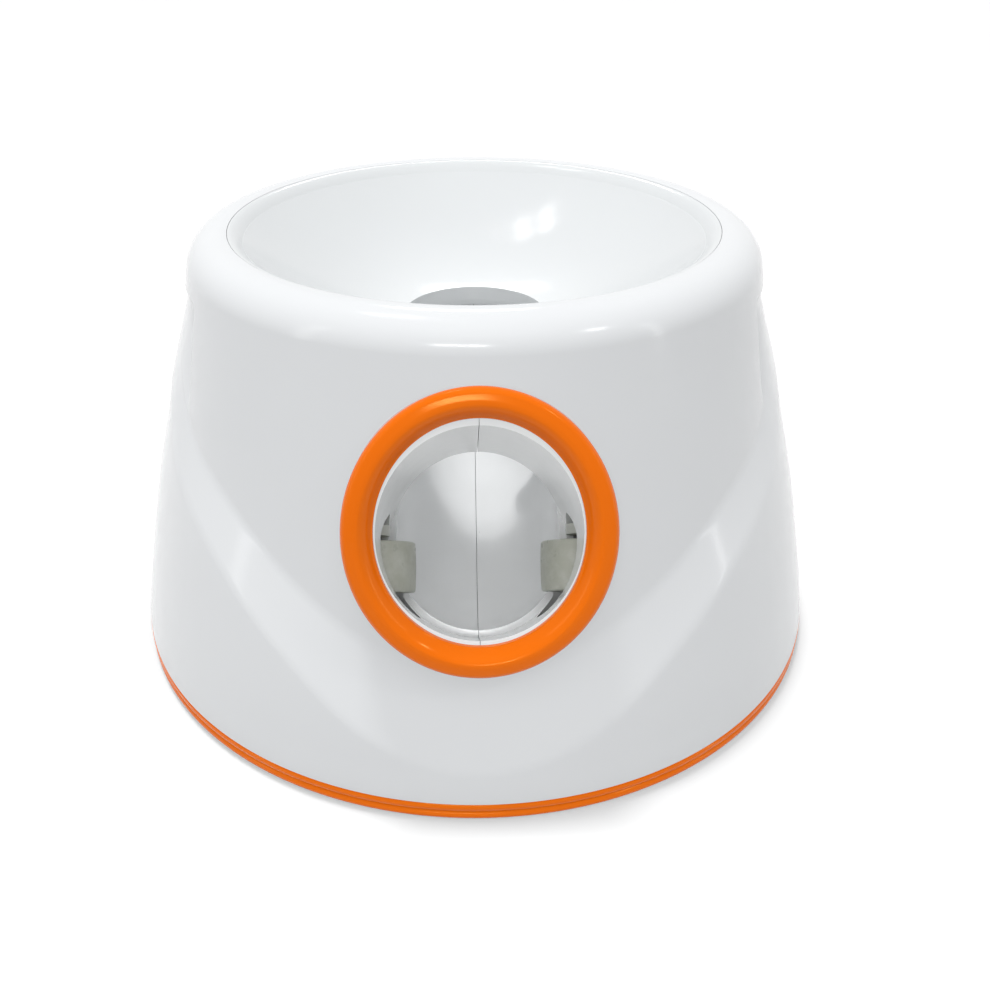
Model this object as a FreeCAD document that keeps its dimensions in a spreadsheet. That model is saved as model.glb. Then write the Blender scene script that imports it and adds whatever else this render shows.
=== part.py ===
import FreeCAD, Part
import math
import operator
import os
from types import SimpleNamespace

import Sketcher
from FreeCAD import Placement, Rotation, Vector

# Automatic dog ball launcher, millimetres, +Z up.
# The origin is on the floor under the middle of the round base, and the muzzle faces -Y.

DIMENSIONS = (
    ("rim_height", 168.0, "top of the rolled rim"),
    ("rim_tube_radius", 13.2, "section radius of the rolled rim"),
    ("rim_tube_circle", 95.9, "radius of the circle that the rim section follows"),
    ("shield_radius", 109.3, "outer radius of the shields just under the rim"),
    ("shield_top", 155.0, "height at which shield_radius is measured"),
    ("shield_slope", 0.2, "radius gained per millimetre down the shield"),
    ("base_radius", 146.3, "outer radius of the base ring"),
    ("shell_bottom", 8.0, "height of the shell's lower edge"),
    ("wall", 2.5, "moulded wall of the outer shell"),
    ("funnel_opening", 93.0, "radius of the opening inside the rim"),
    ("funnel_edge_height", 167.4, "height of the funnel's outer edge"),
    ("bowl_radius", 87.5, "radius at which the funnel's bowl begins"),
    ("bowl_top", 163.8, "height at which the funnel's bowl begins"),
    ("throat_radius", 28.0, "hole at the bottom of the funnel"),
    ("throat_height", 130.0, "height of the throat's edge"),
    ("muzzle_reach", 122.5, "distance of the muzzle's centre in front of the axis"),
    ("muzzle_height", 103.2, "height of the muzzle's centre"),
    ("muzzle_lean", 15.7, "lean of the bezel's plane, degrees"),
    ("launch_angle", 38.0, "tilt of the barrel above level, degrees"),
    ("bezel_half_width", 38.4, "middle of the bezel's band, sideways"),
    ("bezel_half_height", 42.6, "middle of the bezel's band, in its plane"),
    ("bezel_band", 10.0, "width of the bezel's band"),
    ("bezel_crown", 4.8, "height of the bezel's bead above its plane"),
    ("barrel_radius", 33.0, "bore of the barrel"),
    ("chute_radius", 31.0, "bore of the elbow and the chute"),
    ("chute_wall", 2.4, "moulded wall of the chute halves"),
    ("elbow_depth", 62.0, "elbow's centre behind the muzzle, along the barrel"),
    ("knee_height", 112.0, "height at which the chute bends under the throat"),
    ("chute_top", 125.0, "upper end of the chute"),
    ("seam_gap", 0.2, "gap between the chute halves"),
    ("roller_radius", 18.0, "launching roller"),
    ("roller_width", 18.0, "length of the roller's tyre"),
    ("roller_gap", 44.0, "space between the rollers, less than a 50 mm ball"),
    ("roller_depth", 42.0, "roller axes behind the muzzle, along the barrel"),
    ("roller_drop", 8.0, "roller's middle below the barrel axis"),
    ("roller_bore", 11.0, "inside radius of the tyre"),
    ("pocket_clearance", 1.5, "room round each roller"),
    ("shaft_radius", 1.6, "motor shaft"),
    ("collar_radius", 8.8, "collar of the roller hub"),
    ("motor_radius", 13.85, "motor can"),
    ("motor_length", 32.0, "motor can"),
    ("motor_start", 25.0, "motor's face above the barrel axis"),
    ("motor_wall", 1.0, "sheet of the motor can"),
    ("cap_height", 5.0, "plastic end cap of the motor"),
    ("armature_radius", 8.6, "motor armature"),
    ("magnet_inner", 9.6, "inside of the motor magnets"),
    ("shelf_thickness", 3.0, "shelf that carries a motor"),
    ("gate_place", 50.0, "gate pin's place up the chute from the elbow"),
    ("gate_drop", 5.0, "gate pin's place below the chute's middle"),
    ("gate_reach", 18.0, "how far the gate pin stands into the chute"),
    ("sensor_place", 72.0, "ball sensor's place up the chute from the elbow"),
    ("sensor_drop", 4.0, "ball sensor's place below the chute's middle"),
    ("gate_pin_radius", 4.0, "gate pin"),
    ("coil_radius", 11.0, "solenoid winding"),
    ("coil_length", 24.0, "solenoid winding"),
    ("frame_sheet", 1.5, "steel of the solenoid frame"),
    ("pan_bottom", 3.0, "underside of the base pan"),
    ("pan_thickness", 2.5, "floor of the base pan"),
    ("pan_radius", 138.4, "base pan"),
    ("ring_bottom", 0.6, "lower edge of the base ring"),
    ("bay_length", 106.0, "inside of the battery bay"),
    ("bay_width", 84.0, "inside of the battery bay"),
    ("bay_height", 30.5, "inside of the battery bay above the pan's underside"),
    ("bay_front", 18.0, "front wall of the battery bay"),
    ("door_gap", 0.3, "gap round the battery door"),
    ("foot_radius", 9.0, "rubber foot"),
    ("foot_circle", 124.0, "circle of the rubber feet"),
    ("boss_circle", 127.0, "circle of the shell's screw bosses"),
    ("boss_radius", 4.5, "shell's screw bosses"),
    ("panel_height", 86.0, "height of the control panel's middle"),
    ("panel_width", 92.0, "opening for the control panel"),
    ("panel_tall", 32.0, "opening for the control panel"),
    ("panel_corner", 9.0, "corner radius of that opening"),
    ("panel_gap", 0.3, "gap round the control panel"),
    ("button_radius", 8.5, "push buttons"),
    ("jack_radius", 3.2, "bore of the power inlet, for a 5.5 mm plug"),
    ("board_height", 16.0, "underside of the main board"),
    ("board_thickness", 1.6, "circuit boards"),
    ("screw_radius", 1.5, "M3 screws"),
)

# Outline of the side petals as radius and height, from the floor to under the rim
PETAL_OUTLINE = (
    (146.3, 0.0), (146.0, 8.0), (143.8, 20.6), (137.4, 50.0), (129.9, 80.0), (124.0, 100.0),
    (119.7, 117.0), (115.5, 130.0), (111.5, 145.0), (109.0, 155.0),
)

# Heights of the shield's inner and outer crease at each angle from the front, in degrees
CREASES = (
    (0, 53.0, 20.6), (15, 58.5, 30.0), (30, 75.0, 53.5), (45, 93.0, 75.5),
    (60, 106.5, 91.5), (75, 128.0, 107.0), (90, 140.0, 124.0),
)
BEVEL_INNER_RADIUS = 98.0
BEVEL_OUTER_RADIUS = 165.0
GRIP_HALF_ANGLE = 26.0
GRIP_SECTION = ((109.9, 151.6), (107.0, 135.0), (117.9, 112.0))
SCREW_ANGLES = (60.0, 120.0, 240.0, 300.0)
FOOT_ANGLES = (30.0, 150.0, 210.0, 330.0)
FUNNEL_SCREW_ANGLES = (30.0, 90.0, 150.0, 210.0, 270.0, 330.0)
POWER_BUTTON_X = -27.0
DISTANCE_BUTTON_X = -3.0
LIGHTS_X = 13.0
JACK_X = 31.0
FRONT_POST = (43.0, -70.0, 46.0)
REAR_POST = (43.0, 0.0, 98.0)
BOARD_CORNER = (-118.0, -28.0)
BOARD_SIZE = (60.0, 56.0)
PANEL_SCREWS = ((-41.0, -10.0), (-41.0, 10.0), (21.0, -10.0), (21.0, 10.0))
SIDES = (("left", -1), ("right", 1))
X_AXIS, Y_AXIS, Z_AXIS = Vector(1, 0, 0), Vector(0, 1, 0), Vector(0, 0, 1)

OPERATIONS = {"+": operator.add, "-": operator.sub, "*": operator.mul, "/": operator.truediv}


class Size:
    """A length that knows its value and the sheet formula that gives it."""

    def __init__(self, value, formula):
        self.value = value
        self.formula = formula

    def __add__(self, other):
        return combine(self, other, "+")

    def __radd__(self, other):
        return combine(other, self, "+")

    def __sub__(self, other):
        return combine(self, other, "-")

    def __rsub__(self, other):
        return combine(other, self, "-")

    def __mul__(self, other):
        return combine(self, other, "*")

    def __truediv__(self, other):
        return combine(self, other, "/")


def as_size(length):
    """Give a plain number as a Size, and a Size as it is."""
    return length if isinstance(length, Size) else Size(float(length), repr(float(length)))


def combine(first, second, sign):
    """Join two lengths by an arithmetic sign, in value and in formula."""
    first, second = as_size(first), as_size(second)
    value = OPERATIONS[sign](first.value, second.value)
    return Size(value, "(%s %s %s)" % (first.formula, sign, second.formula))


# Document and its sheet of driving dimensions

doc = FreeCAD.newDocument("BallLauncher")
sheet = doc.addObject("Spreadsheet::Sheet", "Dimensions")
for row, (alias, number, meaning) in enumerate(DIMENSIONS, start=1):
    sheet.set("A%d" % row, meaning)
    sheet.set("B%d" % row, str(number))
    sheet.setAlias("B%d" % row, alias)
doc.recompute()
dim = SimpleNamespace(**{alias: Size(number, "Dimensions." + alias) for alias, number, _ in DIMENSIONS})
num = SimpleNamespace(**{alias: float(sheet.get(alias)) for alias, _, _ in DIMENSIONS})

# Local frames of the slanted assemblies

BARREL = Placement(Vector(0, -num.muzzle_reach, num.muzzle_height), Rotation(X_AXIS, -num.launch_angle))
BEZEL = Placement(BARREL.Base, Rotation(X_AXIS, 90.0 - num.muzzle_lean))
ELBOW = BARREL.multVec(Vector(0, num.elbow_depth, 0))
KNEE = Vector(0, 0, num.knee_height)
FEED_SLOPE = math.degrees(math.atan2(KNEE.z - ELBOW.z, KNEE.y - ELBOW.y))
FEED = Placement(ELBOW, Rotation(X_AXIS, FEED_SLOPE))
GATE = FEED.multiply(Placement(Vector(0, num.gate_place, -num.gate_drop), Rotation(Y_AXIS, -90.0)))
SENSOR = FEED.multVec(Vector(0, num.sensor_place, -num.sensor_drop))
PANEL_LEAN = math.degrees(math.atan(num.shield_slope))
PANEL_RADIUS = num.shield_radius + num.shield_slope * (num.shield_top - num.panel_height)
PANEL = Placement(Vector(0, PANEL_RADIUS, num.panel_height), Rotation(X_AXIS, PANEL_LEAN - 90.0))
ROLLER_X = num.roller_gap / 2 + num.roller_radius
parts = {}


# Helpers that build and bind objects of the document

def bind(piece, **sizes):
    """Bind properties of a document object to sheet formulas."""
    for name, length in sizes.items():
        setattr(piece, name, as_size(length).value)
        piece.setExpression(name, as_size(length).formula)
    return piece


def frame(x=0.0, y=0.0, z=0.0, inside=Placement(), turn=Rotation()):
    """Give a placement at x, y, z of another frame, turned in it."""
    return inside.multiply(Placement(Vector(x, y, z), turn))


def cylinder(name, radius, height, place=Placement()):
    """Add a Part cylinder along its own Z axis."""
    piece = bind(doc.addObject("Part::Cylinder", name), Radius=radius, Height=height)
    piece.Placement = place
    return piece


def box(name, length, width, height, place=Placement(), centred=True):
    """Add a Part box; a centred one has its middle over the frame's origin in X and Y."""
    piece = bind(doc.addObject("Part::Box", name), Length=length, Width=width, Height=height)
    if centred:
        place = place.multiply(Placement(Vector(-as_size(length).value / 2, -as_size(width).value / 2, 0),
                                         Rotation()))
    piece.Placement = place
    return piece


def fused(name, *pieces):
    """Add the union of several objects."""
    piece = doc.addObject("Part::MultiFuse", name)
    piece.Shapes = list(pieces)
    return piece


def cut(name, base, *tools):
    """Add the base with one or more tools taken away."""
    piece = doc.addObject("Part::Cut", name)
    piece.Base = base
    piece.Tool = tools[0] if len(tools) == 1 else fused(name + "_tools", *tools)
    return piece


def feature(name, shape):
    """Add an object that holds a shape made with Part's own functions."""
    piece = doc.addObject("Part::Feature", name)
    piece.Shape = shape
    return piece


def keep(piece, label):
    """Note an object as a sub-part under the name of its file."""
    piece.Label = label
    parts[label] = piece
    return piece


def origin_plane(body, role):
    """Find one of a body's own origin planes."""
    return next(item for item in body.Origin.OriginFeatures if item.Role == role)


def closed_sketch(body, name, plane, corners):
    """Draw a closed outline of straight lines, each corner bound to the sheet."""
    sketch = body.newObject("Sketcher::SketchObject", name)
    sketch.AttachmentSupport = [(origin_plane(body, plane), "")]
    sketch.MapMode = "FlatFace"
    corners = [(as_size(across), as_size(along)) for across, along in corners]
    points = [Vector(across.value, along.value, 0) for across, along in corners]
    for index, point in enumerate(points):
        sketch.addGeometry(Part.LineSegment(point, points[(index + 1) % len(points)]), False)
    for index, corner in enumerate(corners):
        sketch.addConstraint(Sketcher.Constraint("Coincident", index - 1 if index else len(points) - 1, 2,
                                                 index, 1))
        for kind, axis, length in (("DistanceX", -2, corner[0]), ("DistanceY", -1, corner[1])):
            if abs(length.value) < 1e-9:
                sketch.addConstraint(Sketcher.Constraint("PointOnObject", index, 1, axis))
            else:
                number = sketch.addConstraint(Sketcher.Constraint(kind, index, 1, length.value))
                sketch.setExpression("Constraints[%d]" % number, length.formula)
    return sketch


def turned(name, corners, place=Placement()):
    """Add a body turned about its own Z axis from an outline of radius and height."""
    body = doc.addObject("PartDesign::Body", name)
    sketch = closed_sketch(body, name + "_outline", "XZ_Plane", corners)
    turn = body.newObject("PartDesign::Revolution", name + "_turn")
    turn.Profile = sketch
    turn.ReferenceAxis = (sketch, ["V_Axis"])
    turn.Angle = 360.0
    body.Placement = place
    return body


def plate(name, corners, thickness, place=Placement()):
    """Add a body padded up from an outline in its own XY plane."""
    body = doc.addObject("PartDesign::Body", name)
    sketch = closed_sketch(body, name + "_outline", "XY_Plane", corners)
    pad = body.newObject("PartDesign::Pad", name + "_pad")
    pad.Profile = sketch
    bind(pad, Length=thickness)
    body.Placement = place
    return body


def rectangle(left, low, length, width):
    """Give the four corners of a rectangle."""
    return [(left, low), (left + length, low), (left + length, low + width), (left, low + width)]


# Shapes made with Part's own functions

def moved(shape, place):
    """Give a copy of a shape, carried into a frame."""
    copy = shape.copy()
    copy.Placement = place.multiply(copy.Placement)
    return copy


def rod(start, end, radius):
    """Give a solid cylinder from one point to another."""
    return Part.makeCylinder(radius, (end - start).Length, start, end - start)


def block(low, high, place=Placement()):
    """Give a box between two corners of a frame."""
    size = Vector(*high) - Vector(*low)
    return moved(Part.makeBox(size.x, size.y, size.z, Vector(*low)), place)


def spun(edges, angle=360.0, start=0.0):
    """Spin a closed outline drawn in the XZ plane about the Z axis."""
    face = Part.Face(Part.Wire(Part.__sortEdges__(edges)))
    face.rotate(Vector(), Z_AXIS, start)
    return face.revolve(Vector(), Z_AXIS, angle)


def chain(*points):
    """Give the straight edges of a closed outline of radius and height."""
    corners = [Vector(radius, 0, height) for radius, height in points]
    return [Part.LineSegment(a, b).toShape() for a, b in zip(corners, corners[1:] + corners[:1])]


def around(radius, angle, height=0.0):
    """Give the point at an angle from the front, in degrees."""
    turn = math.radians(angle)
    return Vector(radius * math.sin(turn), -radius * math.cos(turn), height)


def shield_radius_at(height):
    """Give the outer radius of the shields at a height."""
    return num.shield_radius + num.shield_slope * (num.shield_top - height)


def petal_curve(inset):
    """Give the petals' outline as a curve, moved in by the inset."""
    curve = Part.BSplineCurve()
    curve.interpolate([Vector(radius - inset, 0, height) for radius, height in PETAL_OUTLINE])
    return curve


def petal_radius_at(height):
    """Give the petals' outer radius at a height."""
    level = Part.Line(Vector(0, 0, height), Vector(200, 0, height))
    return petal_curve(0.0).intersectCC(level)[0].X


def petal_form(inset):
    """Give the solid of revolution that the petals are cut from."""
    curve = petal_curve(inset).toShape()
    foot, top = PETAL_OUTLINE[0], PETAL_OUTLINE[-1]
    edges = [
        curve,
        Part.LineSegment(Vector(top[0] - inset, 0, top[1]), Vector(0, 0, top[1])).toShape(),
        Part.LineSegment(Vector(0, 0, top[1]), Vector(0, 0, foot[1])).toShape(),
        Part.LineSegment(Vector(0, 0, foot[1]), Vector(foot[0] - inset, 0, foot[1])).toShape(),
    ]
    return spun(edges)


def shield_form(inset):
    """Give the cone of the shields with the rolled rim on top."""
    tilt = math.atan(num.shield_slope)
    radius = num.rim_tube_radius - inset
    centre = Vector(num.rim_tube_circle, 0, num.rim_height - num.rim_tube_radius)
    joint = centre + Vector(radius * math.cos(tilt), 0, radius * math.sin(tilt))
    middle = centre + Vector(radius * math.cos(math.radians(45)), 0, radius * math.sin(math.radians(45)))
    crest = centre + Vector(0, 0, radius)
    foot = Vector(joint.x + num.shield_slope * joint.z, 0, 0)
    edges = [
        Part.LineSegment(foot, joint).toShape(),
        Part.Arc(joint, middle, crest).toShape(),
        Part.LineSegment(crest, Vector(0, 0, crest.z)).toShape(),
        Part.LineSegment(Vector(0, 0, crest.z), Vector()).toShape(),
        Part.LineSegment(Vector(), foot).toShape(),
    ]
    return spun(edges)


def crease_rows():
    """Repeat the crease heights round all four quarters, from the front."""
    rows = list(CREASES)
    rows += [(180 - angle, inner, outer) for angle, inner, outer in reversed(CREASES[:-1])]
    rows += [(360 - angle, inner, outer) for angle, inner, outer in reversed(rows[1:-1])]
    return rows


def bevel_cutter(inset):
    """Give the space above the bevel that runs down from shield to petals."""
    inner, outer = [], []
    for angle, shield_height, petal_height in crease_rows():
        shield_edge = shield_radius_at(shield_height)
        petal_edge = petal_radius_at(petal_height)
        fall = (shield_height - petal_height) / (petal_edge - shield_edge)
        drop = inset * math.hypot(1.0, fall)
        for rim, radius in ((inner, BEVEL_INNER_RADIUS), (outer, BEVEL_OUTER_RADIUS)):
            rim.append(around(radius, angle, shield_height + fall * (shield_edge - radius) - drop))
    rims = []
    for points in (inner, outer):
        curve = Part.BSplineCurve()
        curve.interpolate(Points=points, PeriodicFlag=True)
        rims.append(curve.toShape())
    return Part.makeRuledSurface(*rims).extrude(Vector(0, 0, 400.0))


def grip_cutter(inset):
    """Give the finger grips under the rim, one on each side."""
    top, middle, low = [Vector(radius - inset, 0, height) for radius, height in GRIP_SECTION]
    top.z += inset
    low.z -= inset
    far_top, far_low = Vector(BEVEL_OUTER_RADIUS, 0, top.z), Vector(BEVEL_OUTER_RADIUS, 0, low.z)
    edges = [
        Part.Arc(top, middle, low).toShape(),
        Part.LineSegment(low, far_low).toShape(),
        Part.LineSegment(far_low, far_top).toShape(),
        Part.LineSegment(far_top, top).toShape(),
    ]
    half_angle = GRIP_HALF_ANGLE + math.degrees(inset / num.shield_radius)
    grips = [spun(edges, 2 * half_angle, middle_angle - half_angle) for middle_angle in (0.0, 180.0)]
    return grips[0].fuse(grips[1])


def outer_form(inset):
    """Give the whole filled body, moved in by the inset."""
    core = shield_form(inset).cut(grip_cutter(inset))
    petals = petal_form(inset).cut(bevel_cutter(inset))
    return core.fuse(petals)


def oval_prism(half_width, half_height, low, high, place=BEZEL):
    """Give an oval prism between two heights of a frame."""
    edge = Part.Ellipse(Vector(0, half_height, low), Vector(half_width, 0, low), Vector(0, 0, low)).toShape()
    return moved(Part.Face(Part.Wire(edge)).extrude(Vector(0, 0, high - low)), place)


def rounded_prism(length, width, corner, low, high, place):
    """Give a rounded rectangle as a prism between two heights of a frame."""
    shape = Part.makeBox(length, width, high - low, Vector(-length / 2, -width / 2, low))
    upright = [edge for edge in shape.Edges if abs(edge.tangentAt(0).z) > 0.99]
    return moved(shape.makeFillet(corner, upright), place)


def bored(base, *tools):
    """Take several shapes away from one."""
    return base.cut(list(tools))


# Screws: a pan head with a cross recess under a plain shank, along +Z

def screw_form(length, radius):
    """Give one screw, its head below zero and its shank above."""
    head = Part.makeCylinder(1.95 * radius, 1.3 * radius, Vector(0, 0, -1.3 * radius))
    head = head.makeFillet(0.5 * radius, [head.Edges[2]])
    shank = Part.makeCylinder(radius, length)
    slots = [
        Part.makeBox(a, b, 0.7 * radius, Vector(-a / 2, -b / 2, -1.3 * radius))
        for a, b in ((2.0 * radius, 0.4 * radius), (0.4 * radius, 2.0 * radius))
    ]
    return head.fuse(shank).cut(slots[0].fuse(slots[1]))


def screws(label, length, places, radius=None):
    """Add one sub-part that holds the same screw at several places."""
    shape = screw_form(length, radius or num.screw_radius)
    return keep(feature(label, Part.makeCompound([moved(shape, place) for place in places])), label)


# Outer shell with its rim lip, bosses and openings

def panel_prism(grow, low=-30.0, high=30.0):
    """Give the rounded control panel outline as a prism, grown on all sides."""
    return rounded_prism(
        num.panel_width + 2 * grow, num.panel_tall + 2 * grow, num.panel_corner + grow, low, high, PANEL
    )


def shell_screw_places(height):
    """Give the places of the screws that hold pan, ring and shell together."""
    return [Placement(around(num.boss_circle, angle, height), Rotation()) for angle in SCREW_ANGLES]


def funnel_screw_places(height):
    """Give the places of the screws that hold the funnel under the rim."""
    circle = num.funnel_opening + 6.0
    return [Placement(around(circle, angle, height), Rotation()) for angle in FUNNEL_SCREW_ANGLES]


def make_outer_shell(body):
    """Make the white moulded shell."""
    lip_radius = num.funnel_opening + num.wall
    lip_bottom = num.rim_height - 10.0
    void = outer_form(num.wall).cut(Part.makeCylinder(lip_radius, 30.0, Vector(0, 0, lip_bottom)))
    shell = bored(
        body, void, Part.makeCylinder(num.funnel_opening, 60.0, Vector(0, 0, 140.0)),
        Part.makeBox(400, 400, num.shell_bottom + 10.0, Vector(-200, -200, -10.0)),
        oval_prism(num.bezel_half_width + 0.3, num.bezel_half_height + 0.5, -30.0, 30.0),
        panel_prism(0.0),
    )
    pan_top = num.pan_bottom + num.pan_thickness
    bosses = []
    for place in shell_screw_places(pan_top):
        outwards = Placement(place.Base, Rotation(Y_AXIS, Vector(place.Base.x, place.Base.y, 0)))
        rib = block((-1.5, 0, 5.0), (1.5, 16.0, 32.0), outwards)
        bosses.append(Part.makeCylinder(num.boss_radius, 34.0, place.Base).fuse(rib))
    bosses += [Part.makeCylinder(3.0, 8.8, place.Base) for place in funnel_screw_places(157.2)]
    inside = outer_form(0.8 * num.wall)
    shell = shell.fuse([boss.common(inside) for boss in bosses])
    holes = [Part.makeCylinder(1.6, 26.0, place.Base) for place in shell_screw_places(0.0)]
    holes += [Part.makeCylinder(1.1, 7.0, place.Base) for place in funnel_screw_places(156.0)]
    return keep(feature("OuterShell", bored(shell, *holes)), "outer_shell")


# Funnel with its bowl, throat and screw flange

def bowl_edges(drop):
    """Give the funnel's lip and bowl as curves from edge to throat, lowered by the wall."""
    edge = Vector(num.funnel_opening - 0.4, 0, num.funnel_edge_height - drop)
    lip_end = Vector(num.bowl_radius, 0, num.bowl_top - drop)
    lip_middle = Vector((edge.x + lip_end.x) / 2 + 0.2, 0, (edge.z + lip_end.z) / 2 + 0.75)
    span = num.bowl_radius - num.throat_radius
    rise = num.bowl_top - num.throat_height
    points = []
    for step in (0.0, 0.2, 0.4, 0.6, 0.8, 1.0):
        height = num.throat_height + rise * (0.36 * step + 0.64 * step * step)
        points.append(Vector(num.throat_radius + span * step, 0, height - drop))
    curve = Part.BSplineCurve()
    curve.interpolate(points)
    return [Part.Arc(edge, lip_middle, lip_end).toShape(), curve.toShape()], edge, points[0]


def make_funnel_bowl():
    """Make the dish that the ball is dropped in."""
    wall = num.wall
    upper, upper_edge, throat = bowl_edges(0.0)
    lower, lower_edge, throat_low = bowl_edges(1.25 * wall)
    collar_bottom = num.throat_height - 8.0
    collar_radius = num.throat_radius + 2.4
    path = [
        (throat.x, throat.z), (throat.x, collar_bottom), (collar_radius, collar_bottom),
        (collar_radius, throat_low.z + 0.6), (throat_low.x, throat_low.z),
    ]
    corners = [Vector(radius, 0, height) for radius, height in path]
    edges = upper + lower + [Part.LineSegment(a, b).toShape() for a, b in zip(corners, corners[1:])]
    edges.append(Part.LineSegment(upper_edge, lower_edge).toShape())
    dish = spun(edges)
    flange_low, flange_high = 154.6, 157.1
    outer = num.funnel_opening - 0.4
    skirt = spun(chain((outer - wall, flange_low), (outer, flange_low), (outer, 166.0),
                       (outer - wall, 164.6)))
    flange = spun(chain(
        (outer - wall, flange_low), (outer + 9.6, flange_low), (outer + 9.6, flange_high), (outer - wall,
                                                                                            flange_high)
    ))
    holes = [Part.makeCylinder(1.6, 10.0, place.Base) for place in funnel_screw_places(150.0)]
    funnel = bored(dish.fuse([skirt, flange]), *holes)
    return keep(feature("FunnelBowl", funnel), "funnel_bowl")


# Muzzle bezel: a rounded oval bead with a skirt to the curved wall and a spigot through it

def make_muzzle_bezel(body):
    """Make the orange trim ring round the muzzle."""
    half = num.bezel_band / 2
    spine = Part.Ellipse(Vector(0, num.bezel_half_height, 0), Vector(num.bezel_half_width, 0, 0),
                         Vector()).toShape()
    across = [
        (half, -1.2), (half + 0.1, 1.2), (half - 1.4, 3.7), (half - 4.4, num.bezel_crown),
        (half - 5.6, 4.5), (-half + 1.6, 2.6), (-half, 0.4), (-half, -1.2),
    ]
    corner = [Vector(0, num.bezel_half_height + u, height) for u, height in across]
    section = Part.Wire([
        Part.LineSegment(corner[0], corner[1]).toShape(),
        Part.Arc(corner[1], corner[2], corner[3]).toShape(),
        Part.LineSegment(corner[3], corner[4]).toShape(),
        Part.Arc(corner[4], corner[5], corner[6]).toShape(),
        Part.LineSegment(corner[6], corner[7]).toShape(),
        Part.LineSegment(corner[7], corner[0]).toShape(),
    ])
    bead = moved(Part.Wire(spine).makePipeShell([section], True, True), BEZEL)
    wide, tall = num.bezel_half_width, num.bezel_half_height
    skirt = oval_prism(wide + half - 0.2, tall + half - 0.2, -14.0, -1.0)
    skirt = skirt.cut(oval_prism(wide, tall, -15.0, 0.0))
    wall = body.cut(oval_prism(wide + 0.3, tall + 0.5, -30.0, 30.0))
    spigot = oval_prism(wide, tall + 0.2, -15.0, -1.0).cut(oval_prism(wide - 1.8, tall - 1.6, -16.0, 0.0))
    barrel_room = Part.makeCylinder(num.barrel_radius + num.chute_wall + 0.5, 60.0, Vector(0, -20.0, 0),
                                    Y_AXIS)
    barrel_room = moved(barrel_room, BARREL).common(block((-60, -60, -40), (60, 60, -1.2), BEZEL))
    bezel = bored(bead.fuse([skirt, spigot]), wall, barrel_room)
    return keep(feature("MuzzleBezel", bezel), "muzzle_bezel")


# Chute halves: barrel, elbow, slanted chute and collar, with roller windows and motor shelves

def chute_form(extra):
    """Give the bore of barrel, elbow and chute, grown by a wall."""
    radius = num.chute_radius + extra
    step = num.elbow_depth - 5.0 + extra
    barrel = moved(Part.makeCylinder(num.barrel_radius + extra, step + 30.0, Vector(0, -30.0, 0), Y_AXIS),
                   BARREL)
    elbow = Part.makeSphere(radius, ELBOW)
    knee = Part.makeSphere(radius, KNEE)
    throat = rod(KNEE, Vector(0, 0, num.chute_top + 25.0), radius)
    return barrel.fuse([elbow, rod(ELBOW, KNEE, radius), knee, throat])


def window_arch(side):
    """Give the pointed upper part of a roller window, cut sideways through the barrel wall."""
    low, tip = 1.0, 10.8
    middle = num.roller_depth - 2.0
    half = 17.5
    front, back, peak = Vector(0, middle - half, low), Vector(0, middle + half, low), Vector(0, middle, tip)
    edges = [
        Part.Arc(front, Vector(0, middle - 0.62 * half, 6.6), peak).toShape(),
        Part.Arc(peak, Vector(0, middle + 0.62 * half, 6.6), back).toShape(),
        Part.LineSegment(back, front).toShape(),
    ]
    face = Part.Face(Part.Wire(edges))
    face.translate(Vector(side * 20.0, 0, 0))
    return face.extrude(Vector(side * 34.0, 0, 0))


def chute_extras(side):
    """Give what one chute half carries outside its wall, and what is bored through it."""
    top = num.motor_start
    shelf = block((18.0 if side > 0 else -58.0, 26.0, top - num.shelf_thickness),
                  (58.0 if side > 0 else -18.0, 57.5, top), BARREL)
    lugs = []
    for x, y, height in (FRONT_POST, REAR_POST):
        lugs.append(block((min(side * 22.0, side * (x + 6.0)), y - 6.0, height),
                          (max(side * 22.0, side * (x + 6.0)), y + 6.0, height + 4.0)))
    pocket_radius = num.roller_radius + num.pocket_clearance
    pocket = Part.makeCylinder(pocket_radius, 31.0, Vector(side * ROLLER_X, num.roller_depth, -28.5))
    neck = Part.makeCylinder(7.0, 40.0, Vector(side * ROLLER_X, num.roller_depth, 0))
    shelf_holes = [
        Part.makeCylinder(1.4, 20.0, Vector(side * (ROLLER_X + dx), num.roller_depth + dy, 12.0))
        for dx, dy in ((6.4, 6.4), (-6.4, -6.4))
    ]
    tools = [moved(shape, BARREL) for shape in [pocket, window_arch(side), neck] + shelf_holes]
    for x, y, height in (FRONT_POST, REAR_POST):
        tools.append(Part.makeCylinder(1.6, 20.0, Vector(side * x, y, height - 8.0)))
    return [shelf] + lugs, tools


def seam_boss_places():
    """Give the middles of the four bosses whose screws hold the chute halves together."""
    reach = num.chute_radius + num.chute_wall + 3.1
    return [
        BARREL.multVec(Vector(0, 44.0, -(num.barrel_radius + num.chute_wall + 2.6))),
        ELBOW + Vector(0, 0.5 * reach, -0.866 * reach),
        BARREL.multVec(Vector(0, 12.0, num.barrel_radius + num.chute_wall + 2.6)),
        KNEE + Vector(0, 0.866 * reach, -0.5 * reach),
    ]


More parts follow.
